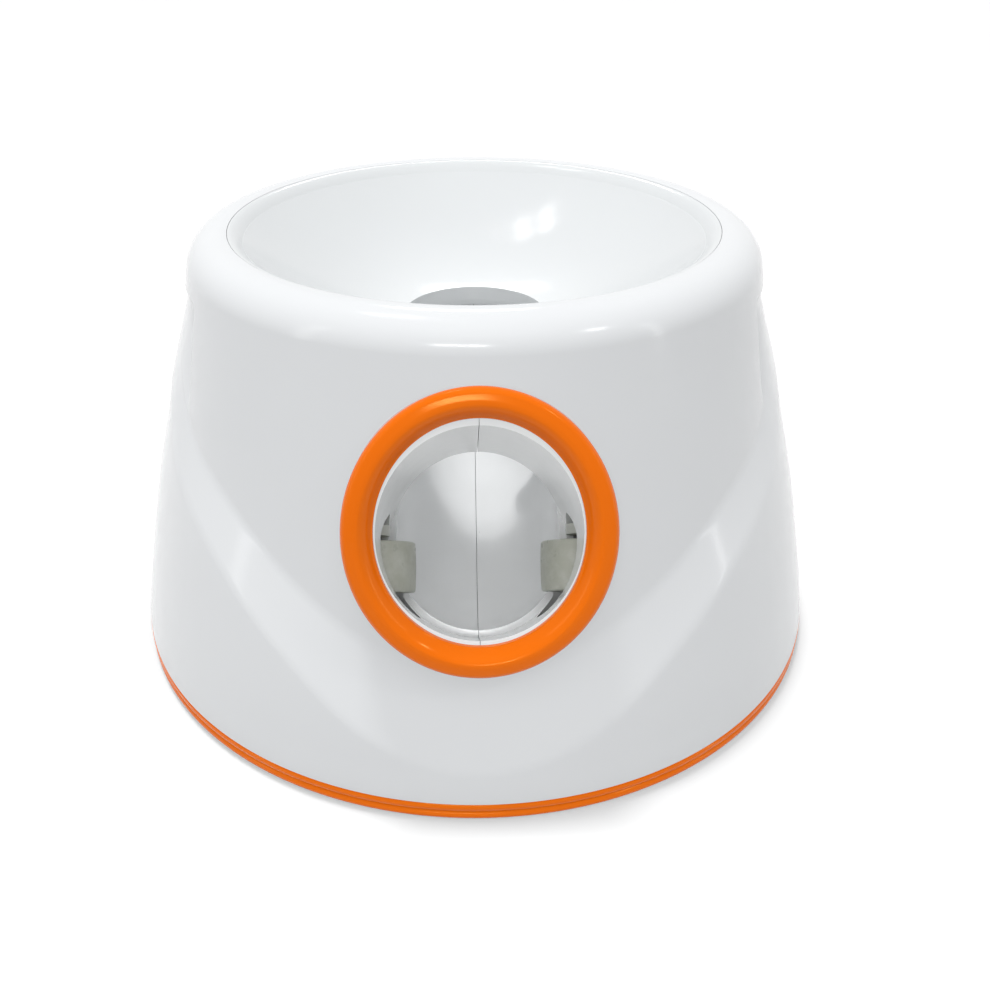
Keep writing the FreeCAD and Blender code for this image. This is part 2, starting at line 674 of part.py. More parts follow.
def make_chute_halves():
    """Make the two moulded halves that meet on the middle plane."""
    mouth_plane = block((-100, -100, -1.8), (100, 100, 100), BEZEL)
    outside = chute_form(num.chute_wall).cut(block((-60, -45, num.chute_top), (60, 60, 200)))
    bore = chute_form(0.0)
    bosses = [Part.makeCylinder(4.0, 16.0, Vector(-8.0, place.y, place.z),
                                X_AXIS) for place in seam_boss_places()]
    holes = [Part.makeCylinder(1.6, 40.0, Vector(-20.0, place.y, place.z),
                               X_AXIS) for place in seam_boss_places()]
    gate_hole = moved(Part.makeCylinder(num.gate_pin_radius + 0.5, 50.0, Vector(0, 0, -60.0)), GATE)
    gate_pad = moved(Part.makeBox(26.0, 26.0, 6.0,
                                  Vector(-13.0, -13.0, -num.chute_radius - num.chute_wall - 2.6)), GATE)
    sensor_hole = Part.makeCylinder(2.6, 100.0, Vector(-50.0, SENSOR.y, SENSOR.z), X_AXIS)
    for label, side in SIDES:
        extras, tools = chute_extras(side)
        half_space = block((0.5 * num.seam_gap if side > 0 else -150, -200, -50),
                           (150 if side > 0 else -0.5 * num.seam_gap, 150, 200))
        solid = outside.fuse(bosses + [gate_pad] + extras).common(half_space)
        half = bored(solid, bore, mouth_plane, gate_hole, sensor_hole, *(tools + holes))
        keep(feature("Chute" + label.capitalize(), half), "chute_" + label)


# Rollers and their motors, each in the barrel's frame

def roller_frame(side, height):
    """Give the frame on a roller's axis at a height above the barrel axis."""
    return frame(side * ROLLER_X, num.roller_depth, height, BARREL)


def make_roller(label, side):
    """Make one roller: a soft tyre on a hub with a neck and a collar."""
    low = -(num.roller_drop + num.roller_width / 2)
    width, chamfer = dim.roller_width, 0.8
    outer, inner = dim.roller_radius, dim.roller_bore
    tyre = turned(label + "_tyre_body", [
        (inner, 0), (outer - chamfer, 0), (outer, chamfer), (outer, width - chamfer), (outer - chamfer,
                                                                                       width), (inner, width),
    ], roller_frame(side, low))
    keep(tyre, label + "_roller_tyre")
    shaft, collar = dim.shaft_radius, dim.collar_radius
    hub = turned(label + "_hub_body", [
        (shaft, 0), (inner, 0), (inner, width), (5.0, width), (5.0, width + 2.2), (collar, width + 2.2),
        (collar, width + 5.8), (4.2, width + 5.8), (4.2, width + 14.0), (shaft, width + 14.0),
    ], roller_frame(side, low))
    keep(hub, label + "_roller_hub")


def make_motor(label, side):
    """Make one motor: rotor, can, magnets, bushings and end cap."""
    low = -(num.roller_drop + num.roller_width / 2)
    start = dim.motor_start
    shaft, armature, can = dim.shaft_radius, dim.armature_radius, dim.motor_radius
    sheet_metal, length = dim.motor_wall, dim.motor_length
    bottom = start + dim.roller_drop + dim.roller_width / 2
    rotor = turned(label + "_rotor_body", [
        (0, 0), (shaft, 0), (shaft, bottom + 5.0), (armature, bottom + 5.0), (armature, bottom + 22.0),
        (4.0, bottom + 22.0), (4.0, bottom + 27.0), (shaft, bottom + 27.0),
        (shaft, bottom + length + 2.0), (0, bottom + length + 2.0),
    ], roller_frame(side, low))
    keep(rotor, label + "_motor_rotor")
    place = roller_frame(side, num.motor_start)
    can_body = turned(label + "_can_body", [
        (4.0, 0), (can - 1.0, 0), (can, 1.0), (can, length), (can - sheet_metal,
                                                              length), (can - sheet_metal, sheet_metal),
        (4.0, sheet_metal),
    ], place)
    keep(can_body, label + "_motor_can")
    cap = turned(label + "_cap_body", [
        (4.0, length), (can, length), (can, length + dim.cap_height - 1.0), (can - 1.0,
                                                                             length + dim.cap_height),
        (4.0, length + dim.cap_height),
    ], place)
    terminals = [
        box(label + "_terminal_%d" % index, 3.0, 0.8, 5.0,
            frame(0, y, num.motor_length + num.cap_height - 1.0, place))
        for index, y in enumerate((-9.0, 9.0))
    ]
    keep(fused(label + "_cap", cap, *terminals), label + "_motor_end_cap")
    ring_outer = num.motor_radius - num.motor_wall
    ring = Part.makeCylinder(ring_outer, 20.0, Vector(0, 0, 5.0))
    ring = ring.cut(Part.makeCylinder(num.magnet_inner, 20.0, Vector(0, 0, 5.0)))
    halves = ring.cut(block((-30, -4, 0), (30, 4, 40)))
    keep(feature(label + "_magnets", moved(halves, place)), label + "_motor_magnets")
    bushings = []
    for low_end, height in ((-1.5, 3.5), (num.motor_length + 0.2, num.cap_height + 1.0)):
        bushing = Part.makeCylinder(4.0, height, Vector(0, 0, low_end))
        bushings.append(bushing.cut(Part.makeCylinder(num.shaft_radius + 0.05, 20.0,
                                                      Vector(0, 0, low_end - 5.0))))
    keep(feature(label + "_bushings", moved(Part.makeCompound(bushings), place)), label + "_motor_bushings")


# Ball gate: a solenoid beside the chute whose pin holds the ball back

def make_gate():
    """Make the solenoid frame, its coil and the sliding pin."""
    floor = num.chute_radius + num.chute_wall + 2.6
    sheet_metal = dim.frame_sheet
    width, depth, height = dim.coil_radius * 2 + 3.0, dim.coil_radius * 2, dim.coil_length + sheet_metal * 2
    top = -floor
    low = top - as_size(height).value
    outside = box("gate_frame_outside", width, depth, height, frame(0, 0, low, GATE))
    window = box(
        "gate_frame_window", width - sheet_metal * 2, depth + 2.0, dim.coil_length, frame(0, 0, low + num.frame_sheet, GATE)
    )
    bore = cylinder("gate_frame_bore", dim.gate_pin_radius + 0.3, height + 2.0, frame(0, 0, low - 1.0, GATE))
    keep(cut("gate_frame", outside, window, bore), "gate_solenoid_frame")
    coil = turned("gate_coil_body", [
        (dim.gate_pin_radius + 0.3, 0), (dim.coil_radius, 0), (dim.coil_radius,
                                                               1.2), (dim.coil_radius - 1.0, 1.2),
        (dim.coil_radius - 1.0, dim.coil_length - 1.2), (dim.coil_radius, dim.coil_length - 1.2),
        (dim.coil_radius, dim.coil_length), (dim.gate_pin_radius + 0.3, dim.coil_length),
    ], frame(0, 0, low + num.frame_sheet, GATE))
    keep(coil, "gate_solenoid_coil")
    below = 1.5
    pin_height = as_size(height) + dim.chute_wall + 2.6 + dim.gate_reach + below
    pin = turned("gate_pin_body", [
        (0, 0), (dim.gate_pin_radius, 0), (dim.gate_pin_radius, pin_height - 1.5),
        (dim.gate_pin_radius - 1.5, pin_height), (0, pin_height),
    ], frame(0, 0, low - below, GATE))
    keep(pin, "gate_pin")


def make_ball_sensor():
    """Make the light emitter and receiver that face each other across the chute."""
    for label, side in (("emitter", -1), ("receiver", 1)):
        turn = Rotation(Z_AXIS, Vector(side, 0, 0))
        start = num.chute_radius - 1.0
        body = turned("sensor_" + label, [(0, 0), (2.5, 0), (2.5, 6.0), (3.4, 6.0), (3.4, 7.5), (0, 7.5)],
                      Placement(Vector(side * start, SENSOR.y, SENSOR.z), turn))
        keep(body, "ball_sensor_" + label)


# Base: ring, pan, battery bay and feet

def make_base_ring():
    """Make the orange band with two beads and a groove between."""
    radius, low, top = dim.base_radius, dim.ring_bottom, dim.shell_bottom
    pan_top = dim.pan_bottom + dim.pan_thickness
    ring = turned("base_ring_body", [
        (139.0, low), (radius - 1.0, low), (radius - 0.2, low + 0.6), (radius, low + 1.6), (radius - 0.2,
                                                                                            low + 2.8),
        (radius - 0.9, low + 3.6), (radius - 0.9, low + 3.9), (radius - 0.2, low + 4.6), (radius, low + 5.6),
        (radius - 0.3, top - 0.4), (radius - 0.9, top), (135.0, top), (135.0, pan_top), (139.0, pan_top),
    ])
    return keep(ring, "base_ring")


def bay_box(name, grow, low, height):
    """Add a box over the battery bay, grown on all sides."""
    place = frame(0, num.bay_front + num.bay_length / 2, low)
    return box(name, dim.bay_width + 2 * grow, dim.bay_length + 2 * grow, height, place)


def make_base_pan():
    """Make the floor with the battery bay, the tall posts and the board posts."""
    thickness, wall = dim.pan_thickness, 2.5
    disc = cylinder("pan_disc", dim.pan_radius, thickness, frame(0, 0, num.pan_bottom))
    solids = [disc, bay_box("bay_outside", wall, num.pan_bottom, dim.bay_height + wall)]
    tools = [bay_box("bay_inside", 0.0, num.pan_bottom - 1.0, dim.bay_height + 1.0)]
    for x, y, height in (FRONT_POST, REAR_POST):
        for label, side in SIDES:
            name = "post_%s_%d" % (label, height)
            solids.append(cylinder(name, 5.5, height - num.pan_bottom, frame(side * x, y, num.pan_bottom)))
            tools.append(cylinder(name + "_hole", 1.3, 14.0, frame(side * x, y, height - 13.0)))
    for index, place in enumerate(board_screw_places(num.pan_bottom)):
        solids.append(cylinder("board_post_%d" % index, 3.2, dim.board_height - dim.pan_bottom, place))
        tools.append(cylinder("board_hole_%d" % index, 1.1, 10.0,
                              frame(place.Base.x, place.Base.y, num.board_height - 8.0)))
    for index, place in enumerate(shell_screw_places(num.pan_bottom - 1.0)):
        tools.append(cylinder("pan_hole_%d" % index, 1.7, 8.0, place))
        tools.append(cylinder("pan_counterbore_%d" % index, 3.3, 2.2, place))
    for index, x in enumerate((-26.0, 26.0)):
        tools.append(box("tongue_slot_%d" % index, 12.6, 6.0, 2.1,
                         frame(x, num.bay_front - 0.5, num.pan_bottom + 2.5)))
    ledge_low = num.pan_bottom + 2.1
    rear = num.bay_front + num.bay_length
    solid = cut("pan_cut", fused("pan_solids", *solids), *tools)
    ledge = box("door_ledge", 14.0, 8.0, 6.0, frame(0, rear - 3.6, ledge_low))
    ledge_hole = cylinder("door_ledge_hole", 1.3, 20.0, frame(0, rear - 4.0, 0))
    pan = cut("pan_with_ledge", fused("pan_and_ledge", solid, ledge), ledge_hole)
    keep(pan, "base_pan")


def make_battery_door():
    """Make the door plate with its two tongues."""
    rear = num.bay_front + num.bay_length
    middle = num.bay_front + num.bay_length / 2
    gap = dim.door_gap
    panel = box("door_panel", dim.bay_width - gap * 2, dim.bay_length - gap * 2, 2.0,
                frame(0, middle, num.pan_bottom))
    tongues = [
        box("door_tongue_%d" % index, 12.0, 8.0, 1.6, frame(x, num.bay_front + 2.0, num.pan_bottom + 2.6))
        for index, x in enumerate((-26.0, 26.0))
    ]
    roots = [
        box("door_root_%d" % index, 12.0, 4.0, 1.4, frame(x, num.bay_front + 3.0, num.pan_bottom + 1.4))
        for index, x in enumerate((-26.0, 26.0))
    ]
    hole = cylinder("door_hole", 1.8, 10.0, frame(0, rear - 4.0, 0))
    sink = cylinder("door_sink", 3.3, 1.2, frame(0, rear - 4.0, num.pan_bottom - 0.2))
    keep(cut("door_cut", fused("door_solid", panel, *(tongues + roots)), hole, sink), "battery_door")
    screws("battery_door_screw", 8.0, [frame(0, rear - 4.0, num.pan_bottom + 1.0)], 1.25)


def make_battery_contacts():
    """Make the sprung sheet contacts at both ends of each row of cells."""
    strips = []
    for x in (-27.0, 0.0, 27.0):
        for y, bend in ((num.bay_front, 1), (num.bay_front + num.bay_length, -1)):
            upright = block((x - 6.0, min(y, y + bend * 0.5), 12.0), (x + 6.0, max(y, y + bend * 0.5), 29.0))
            bow = [Vector(x - 3.0, y + bend * out, height) for out,
                   height in ((0.5, 14.0), (3.0, 20.0), (0.5, 26.0))]
            arc = Part.Arc(*bow).toShape()
            face = Part.Face(Part.Wire([arc, Part.LineSegment(bow[2], bow[0]).toShape()]))
            strips.append(upright.fuse(face.extrude(Vector(6.0, 0, 0))))
    keep(feature("BatteryContacts", Part.makeCompound(strips)), "battery_contacts")


def make_feet():
    """Make the four rubber feet."""
    foot = Part.makeCylinder(num.foot_radius, num.pan_bottom)
    foot = foot.makeChamfer(0.6, [foot.Edges[2]])
    places = [Placement(around(num.foot_circle, angle), Rotation()) for angle in FOOT_ANGLES]
    keep(feature("RubberFeet", Part.makeCompound([moved(foot, place) for place in places])), "rubber_feet")


# Electronics on the pan

def board_screw_places(height):
    """Give the corners of the main board where its screws go."""
    left, low = BOARD_CORNER
    length, width = BOARD_SIZE
    inset = 5.0
    return [
        frame(x, y, height)
        for x in (left + inset, left + length - inset)
        for y in (low + inset, low + width - inset)
    ]


def make_main_board():
    """Make the main board, what is soldered on it and the buzzer."""
    left, low = BOARD_CORNER
    length, width = BOARD_SIZE
    top = num.board_height + num.board_thickness
    board = plate("board_body", rectangle(0, 0, length, width), dim.board_thickness,
                  frame(left, low, num.board_height))
    holes = [cylinder("board_screw_%d" % i, 1.7, 6.0, p) for i,
             p in enumerate(board_screw_places(num.board_height - 2.0))]
    keep(cut("board_cut", board, *holes), "main_board")
    solids = [Part.makeCylinder(5.0, 14.0, Vector(left + 16.0, low + 16.0, top)),
              Part.makeCylinder(4.0, 11.0, Vector(left + 28.0, low + 14.0, top))]
    for x, y, a, b, tall in ((14, 30, 12, 12, 2), (32, 30, 8, 6, 1.8), (44, 16, 5, 10, 16),
                             (44, 36, 5, 10, 16), (24, 46, 22, 6, 7)):
        corner = Vector(left + x - a / 2, low + y - b / 2, top)
        solids.append(Part.makeBox(a, b, tall, corner))
    keep(feature("BoardParts", Part.makeCompound(solids)), "board_parts")
    buzzer = turned("buzzer_body", [
        (1.5, 2.5), (1.5, 8.0), (5.4, 8.0), (6.0, 7.4), (6.0, 0), (0, 0), (0, 2.5),
    ], frame(left + 54.0, low + 26.0, top))
    keep(buzzer, "buzzer")


# Control panel at the back

def wall_layer(outer, inner):
    """Give a layer of the shield's wall between two depths under its surface."""
    return shield_form(outer).cut(shield_form(inner))


def panel_point(x, y, depth):
    """Give the frame at a point of the panel, depth measured inwards from its middle's surface."""
    return frame(x, y, -depth, PANEL)


def surface_depth(x):
    """Give how far the curved wall falls back from the panel's middle plane."""
    return PANEL_RADIUS - math.sqrt(PANEL_RADIUS ** 2 - x ** 2)


def make_control_panel():
    """Make the curved panel, its buttons, lights, inlet and small board."""
    rear_half = block((-100, 0, 0), (100, 200, 200))
    face = panel_prism(-num.panel_gap).common(wall_layer(0.5, num.wall + 0.4).common(rear_half))
    flange = panel_prism(4.0).common(wall_layer(num.wall + 0.1, num.wall + 1.9).common(rear_half))
    collars, holes = [], []
    inside = shield_form(num.wall + 0.2)
    lip_depth, board_depth = 7.4, 15.0
    for x in (POWER_BUTTON_X, DISTANCE_BUTTON_X):
        collar = moved(Part.makeCylinder(num.button_radius + 2.7, 20.0, Vector(x, 0, -lip_depth)), PANEL)
        collars.append(collar.common(inside))
        holes.append(moved(Part.makeCylinder(num.button_radius + 0.35, 30.0, Vector(x, 0, -20.0)), PANEL))
        holes.append(moved(Part.makeCylinder(num.button_radius + 1.7, 12.0,
                                             Vector(x, 0, -12.0 - lip_depth)), PANEL))
    for x, y in PANEL_SCREWS:
        post = moved(Part.makeCylinder(2.6, board_depth - 1.6, Vector(x, y, 1.6 - board_depth)), PANEL)
        collars.append(post.common(inside))
        holes.append(moved(Part.makeCylinder(1.05, 5.6, Vector(x, y, -board_depth)), PANEL))
    for y in (-8.0, 0.0, 8.0):
        holes.append(moved(Part.makeCylinder(1.55, 30.0, Vector(LIGHTS_X, y, -20.0)), PANEL))
    holes.append(moved(Part.makeCylinder(5.1, 30.0, Vector(JACK_X, 0, -20.0)), PANEL))
    keep(feature("ControlPanel", bored(face.fuse([flange] + collars), *holes)), "control_panel")
    stem_depth = lip_depth + 2.1
    for label, x in (("power", POWER_BUTTON_X), ("distance", DISTANCE_BUTTON_X)):
        top = stem_depth - surface_depth(x) + 1.8
        radius = dim.button_radius
        button = turned(label + "_button_body", [
            (0, 0), (2.5, 0), (2.5, 1.0), (radius + 1.3, 1.0), (radius + 1.3, 2.0), (radius, 2.0),
            (radius, top - 1.0), (radius - 1.0, top - 0.2), (0, top),
        ], panel_point(x, 0, stem_depth))
        keep(button, label + "_button")
    length, width = 88.0, 27.0
    board = box("panel_board_box", length, width, dim.board_thickness, panel_point(0, 0, board_depth))
    jack_room = box("panel_board_jack_room", 11.0, 13.0, 6.0, panel_point(JACK_X, 0, board_depth + 2.0))
    screw_holes = [cylinder("panel_hole_%d" % i, 1.3, 6.0, panel_point(x, y, board_depth + 2.0)) for i,
                   (x, y) in enumerate(PANEL_SCREWS)]
    keep(cut("panel_board_cut", board, jack_room, *screw_holes), "panel_board")
    switches = []
    for x in (POWER_BUTTON_X, DISTANCE_BUTTON_X):
        switches.append(block((x - 3.0, -3.0, 1.6 - board_depth), (x + 3.0, 3.0, 3.6 - board_depth), PANEL))
        switches.append(moved(Part.makeCylinder(1.6, 0.5, Vector(x, 0, 3.6 - board_depth)), PANEL))
    keep(feature("PanelSwitches", Part.makeCompound(switches)), "panel_switches")
    depth = surface_depth(LIGHTS_X)
    lights = []
    for y in (-8.0, 0.0, 8.0):
        pipe = Part.makeCylinder(1.45, board_depth - 1.6 - depth - 0.2,
                                 Vector(LIGHTS_X, y, 1.6 - board_depth))
        lights.append(moved(pipe, PANEL))
    keep(feature("StatusLights", Part.makeCompound(lights)), "status_lights")
    depth = surface_depth(JACK_X)
    bottom = board_depth - 3.4
    jack = block((JACK_X - 5.3, -6.3, -bottom), (JACK_X + 5.3, 6.3, -depth - 6.6), PANEL)
    jack = jack.fuse(moved(Part.makeCylinder(5.0, bottom - depth - 0.6, Vector(JACK_X, 0, -bottom)), PANEL))
    jack = jack.cut(moved(Part.makeCylinder(num.jack_radius, 30.0, Vector(JACK_X, 0, 1.4 - bottom)), PANEL))
    jack = jack.fuse(moved(Part.makeCylinder(1.0, bottom - depth - 2.5, Vector(JACK_X, 0, -bottom)), PANEL))
    keep(feature("DcJack", jack), "dc_jack")
    places = [panel_point(x, y, board_depth) for x, y in PANEL_SCREWS]
    screws("panel_screws", 5.0, places, 1.0)



# Screws of the large joints

def make_screws():
    """Make the screw groups that hold the assemblies together."""
    sideways = Rotation(Z_AXIS, X_AXIS)
    places = [Placement(Vector(-8.0, place.y, place.z), sideways) for place in seam_boss_places()]
    screws("chute_screws", 14.0, places)
    under_shelf = num.motor_start - num.shelf_thickness
    motor_places = [
        frame(side * (ROLLER_X + dx), num.roller_depth + dy, under_shelf, BARREL)
        for _, side in SIDES for dx, dy in ((6.4, 6.4), (-6.4, -6.4))
    ]
    screws("motor_screws", 3.0, motor_places, 1.25)
    screws("base_screws", 20.0, shell_screw_places(num.pan_bottom + 1.2))
    screws("funnel_screws", 7.0, funnel_screw_places(154.6), 1.0)
    down = Rotation(X_AXIS, 180.0)
    screws("board_screws", 7.0, [frame(p.Base.x, p.Base.y, num.board_height + num.board_thickness, turn=down)
                                 for p in board_screw_places(0.0)], 1.0)
    lug_places = []
    for x, y, height in (FRONT_POST, REAR_POST):
        lug_places += [frame(side * x, y, height + 4.0, turn=down) for _, side in SIDES]
    screws("mounting_screws", 13.0, lug_places, 1.25)


# Build everything

body_form = outer_form(0.0)
make_outer_shell(body_form)
make_funnel_bowl()
make_muzzle_bezel(body_form)
make_chute_halves()
for side_label, side_sign in SIDES:
    make_roller(side_label, side_sign)
    make_motor(side_label, side_sign)
make_gate()
make_ball_sensor()
make_base_ring()
make_base_pan()
make_battery_door()
make_battery_contacts()
make_feet()
make_main_board()
make_control_panel()
make_screws()
doc.recompute()

# Check every object and write the parts

for item in doc.Objects:
    if "Invalid" in item.State or "Error" in item.State:
        raise RuntimeError("%s failed: %s" % (item.Name, item.State))
os.makedirs("parts", exist_ok=True)
for label, piece in sorted(parts.items()):
    if piece.Shape.isNull() or not piece.Shape.isValid():
        raise RuntimeError("%s has no valid shape" % label)
    piece.Shape.exportStep("parts/%s.step" % label)
    bounds = piece.Shape.BoundBox
    print("%-24s solids %2d volume %9.0f  x %7.1f %7.1f  y %7.1f %7.1f  z %7.1f %7.1f" % (
        label, len(piece.Shape.Solids), piece.Shape.Volume,
        bounds.XMin, bounds.XMax, bounds.YMin, bounds.YMax, bounds.ZMin, bounds.ZMax))
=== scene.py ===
"""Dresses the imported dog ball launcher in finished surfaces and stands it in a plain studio."""

import logging
import math
from dataclasses import dataclass
from enum import Enum
from typing import Sequence

import bpy
import numpy as np
from mathutils import Matrix, Vector


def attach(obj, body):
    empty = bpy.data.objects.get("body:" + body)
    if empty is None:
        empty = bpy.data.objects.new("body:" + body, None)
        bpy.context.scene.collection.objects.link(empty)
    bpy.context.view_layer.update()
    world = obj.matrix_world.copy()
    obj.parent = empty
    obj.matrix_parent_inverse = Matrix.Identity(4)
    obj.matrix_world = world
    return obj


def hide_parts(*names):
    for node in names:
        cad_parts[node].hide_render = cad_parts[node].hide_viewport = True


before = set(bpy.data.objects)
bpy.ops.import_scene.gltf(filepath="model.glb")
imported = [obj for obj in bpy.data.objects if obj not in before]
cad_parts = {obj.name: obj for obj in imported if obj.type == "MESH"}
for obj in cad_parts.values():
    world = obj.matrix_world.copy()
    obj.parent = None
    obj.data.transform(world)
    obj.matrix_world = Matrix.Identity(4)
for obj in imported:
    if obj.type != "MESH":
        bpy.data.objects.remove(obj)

LOG = logging.getLogger("launcher")
MM = 0.001
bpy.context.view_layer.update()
TURN = 2.0 * math.pi
SHARP_ANGLE = 35.0
NEAR_AXIS = 0.01
SLOT_OF = {"power_button": "button_orange", "distance_button": "button_grey", "control_panel": "panel_grey"}
Points = np.ndarray
Solid = tuple[Points, Points]
Piece = bpy.types.Object
Socket = bpy.types.NodeSocket
Colour = tuple[float, float, float]


class Axis(Enum):
    """The direction in which a pattern of lines is stacked on a piece."""

    X = 0
    Y = 1
    Z = 2


# Arrays of points and the meshes made from them


def arc(centre: tuple[float, float], radius: float, start: float, end: float, count: int) -> Points:
    """Points along a circle's arc: centre plus radius times cosine and sine of each angle.

    Args:
        centre: the arc's centre as radius and height.
        radius: the arc's own radius.
        start: first angle in degrees, from the outward direction.
        end: last angle in degrees.
        count: number of points.

    Returns:
        An array of (radius, height) rows.
    """
    angle = np.radians(np.linspace(start, end, count))
    return np.stack([centre[0] + radius * np.cos(angle), centre[1] + radius * np.sin(angle)], -1)


def line(start: tuple[float, float], end: tuple[float, float], count: int) -> Points:
    """Evenly spaced points from one (radius, height) to another, both included."""
    share = np.linspace(0.0, 1.0, count)[:, None]
    return (1.0 - share) * np.array(start) + share * np.array(end)


def corners(*spans: Points) -> Points:
    """Join spans of an outline end to end, dropping points that repeat the one before."""
    joined = np.concatenate(spans)
    step = np.linalg.norm(np.diff(joined, axis=0), axis=1)
    return joined[np.concatenate([[True], step > 1e-6])]


def turned(outline: Points, columns: int = 192) -> Points:
    """Turn a closed outline about the Z axis: each point moves round a circle of its own radius.

    Args:
        outline: (radius, height) rows of a closed outline.
        columns: number of steps round the axis.

    Returns:
        A grid of points, columns by rows by three.
    """
    turn = np.linspace(0.0, TURN, columns, endpoint=False)[:, None]
    radius, height = outline[:, 0][None], outline[:, 1][None]
    return np.stack([radius * np.cos(turn), radius * np.sin(turn), height + 0.0 * turn], -1)


def grid_faces(columns: int, rows: int, round_columns: bool, round_rows: bool) -> Points:
    """Index the four corners of every cell of a grid, wrapping where it is closed."""
    a = np.arange(columns if round_columns else columns - 1)[:, None]
    b = np.arange(rows if round_rows else rows - 1)[None]
    following, above = (a + 1) % columns, (b + 1) % rows
    cells = [a * rows + b, following * rows + b, following * rows + above, a * rows + above]
    return np.stack([np.broadcast_to(c, (a.size, b.size)) for c in cells], -1).reshape(-1, 4)


def to_frame(points: Points, place: Matrix) -> Points:
    """Carry points from a local frame into the object's frame."""
    matrix = np.array(place)
    return points @ matrix[:3, :3].T + matrix[:3, 3]


def signed_volume(points: Points, faces: Points) -> float:
    """Add up the signed volumes under all faces; it is positive when they point outwards."""
    a, b, c, d = (points[faces[:, i]] for i in range(4))
    return float((np.cross(a, b) * c + np.cross(a, c) * d).sum())


def mesh_piece(name: str, points: Points, faces: Points, sharp: float = SHARP_ANGLE) -> Piece:
    """Make an object from points in millimetres and four-cornered faces.

    Args:
        name: the piece's name.
        points: rows of x, y, z in millimetres, in the object's frame.
        faces: rows of four corner numbers.
        sharp: edges that bend by more than this many degrees stay sharp.

    Returns:
        The new object, shaded smooth, with its faces pointing outwards.
    """
    if signed_volume(points, faces) < 0:
        faces = faces[:, ::-1]
    mesh = bpy.data.meshes.new(name)
    mesh.from_pydata((points * MM).tolist(), [], faces.tolist())
    mesh.validate()
    mesh.update()
    mesh.shade_smooth()
    mesh.set_sharp_from_angle(angle=math.radians(sharp))
    piece = bpy.data.objects.new(name, mesh)
    bpy.context.scene.collection.objects.link(piece)
    return piece


def grid_piece(name: str, grid: Points, round_columns: bool = True, round_rows: bool = True,
               sharp: float = SHARP_ANGLE) -> Piece:
    """Make an object from a grid of points, columns by rows by three."""
    faces = grid_faces(grid.shape[0], grid.shape[1], round_columns, round_rows)
    return mesh_piece(name, grid.reshape(-1, 3), faces, sharp)


def joined_piece(name: str, solids: Sequence[Solid]) -> Piece:
    """Make one object from several closed solids, each given by its points and faces."""
    points, faces, start = [], [], 0
    for solid_points, solid_faces in solids:
        if signed_volume(solid_points, solid_faces) < 0:
            solid_faces = solid_faces[:, ::-1]
        points.append(solid_points)
        faces.append(solid_faces + start)
        start += len(solid_points)
    return mesh_piece(name, np.concatenate(points), np.concatenate(faces))


def turned_solid(outline: Points, place: Matrix, columns: int) -> Solid:
    """Turn a closed outline into a solid and carry it into a frame, as points and faces."""
    grid = to_frame(turned(outline, columns), place)
    return grid.reshape(-1, 3), grid_faces(columns, len(outline), True, True)


def finish_piece(piece: Piece, body: str, slot: str, material: bpy.types.Material,
                 *nodes: str) -> None:
    """Give a piece its material and say what it rides on and which nodes it stands for.

    Args:
        piece: the new object.
        body: the CAD body that it moves with.
        slot: the record's material slot; not used.
        material: the finish.
        nodes: CAD nodes that it replaces.
    """
    piece.data.materials.clear()
    piece.data.materials.append(material)
    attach(piece, body)
    if nodes:
        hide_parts(*nodes)
    LOG.info("%s: %d faces on %s", piece.name, len(piece.data.polygons), body)


# Finishes


def scaled(colour: Colour, factor: float, lift: float = 0.0) -> Colour:
    """A colour made darker or lighter by a factor and lifted by a constant."""
    return tuple(channel * factor + lift for channel in colour)


def fill(node: bpy.types.Node, values: dict[str, object]) -> None:
    """Set constant values on a node's sockets, named with underscores for spaces."""
    for name, value in values.items():
        node.inputs[name.replace("_", " ")].default_value = value


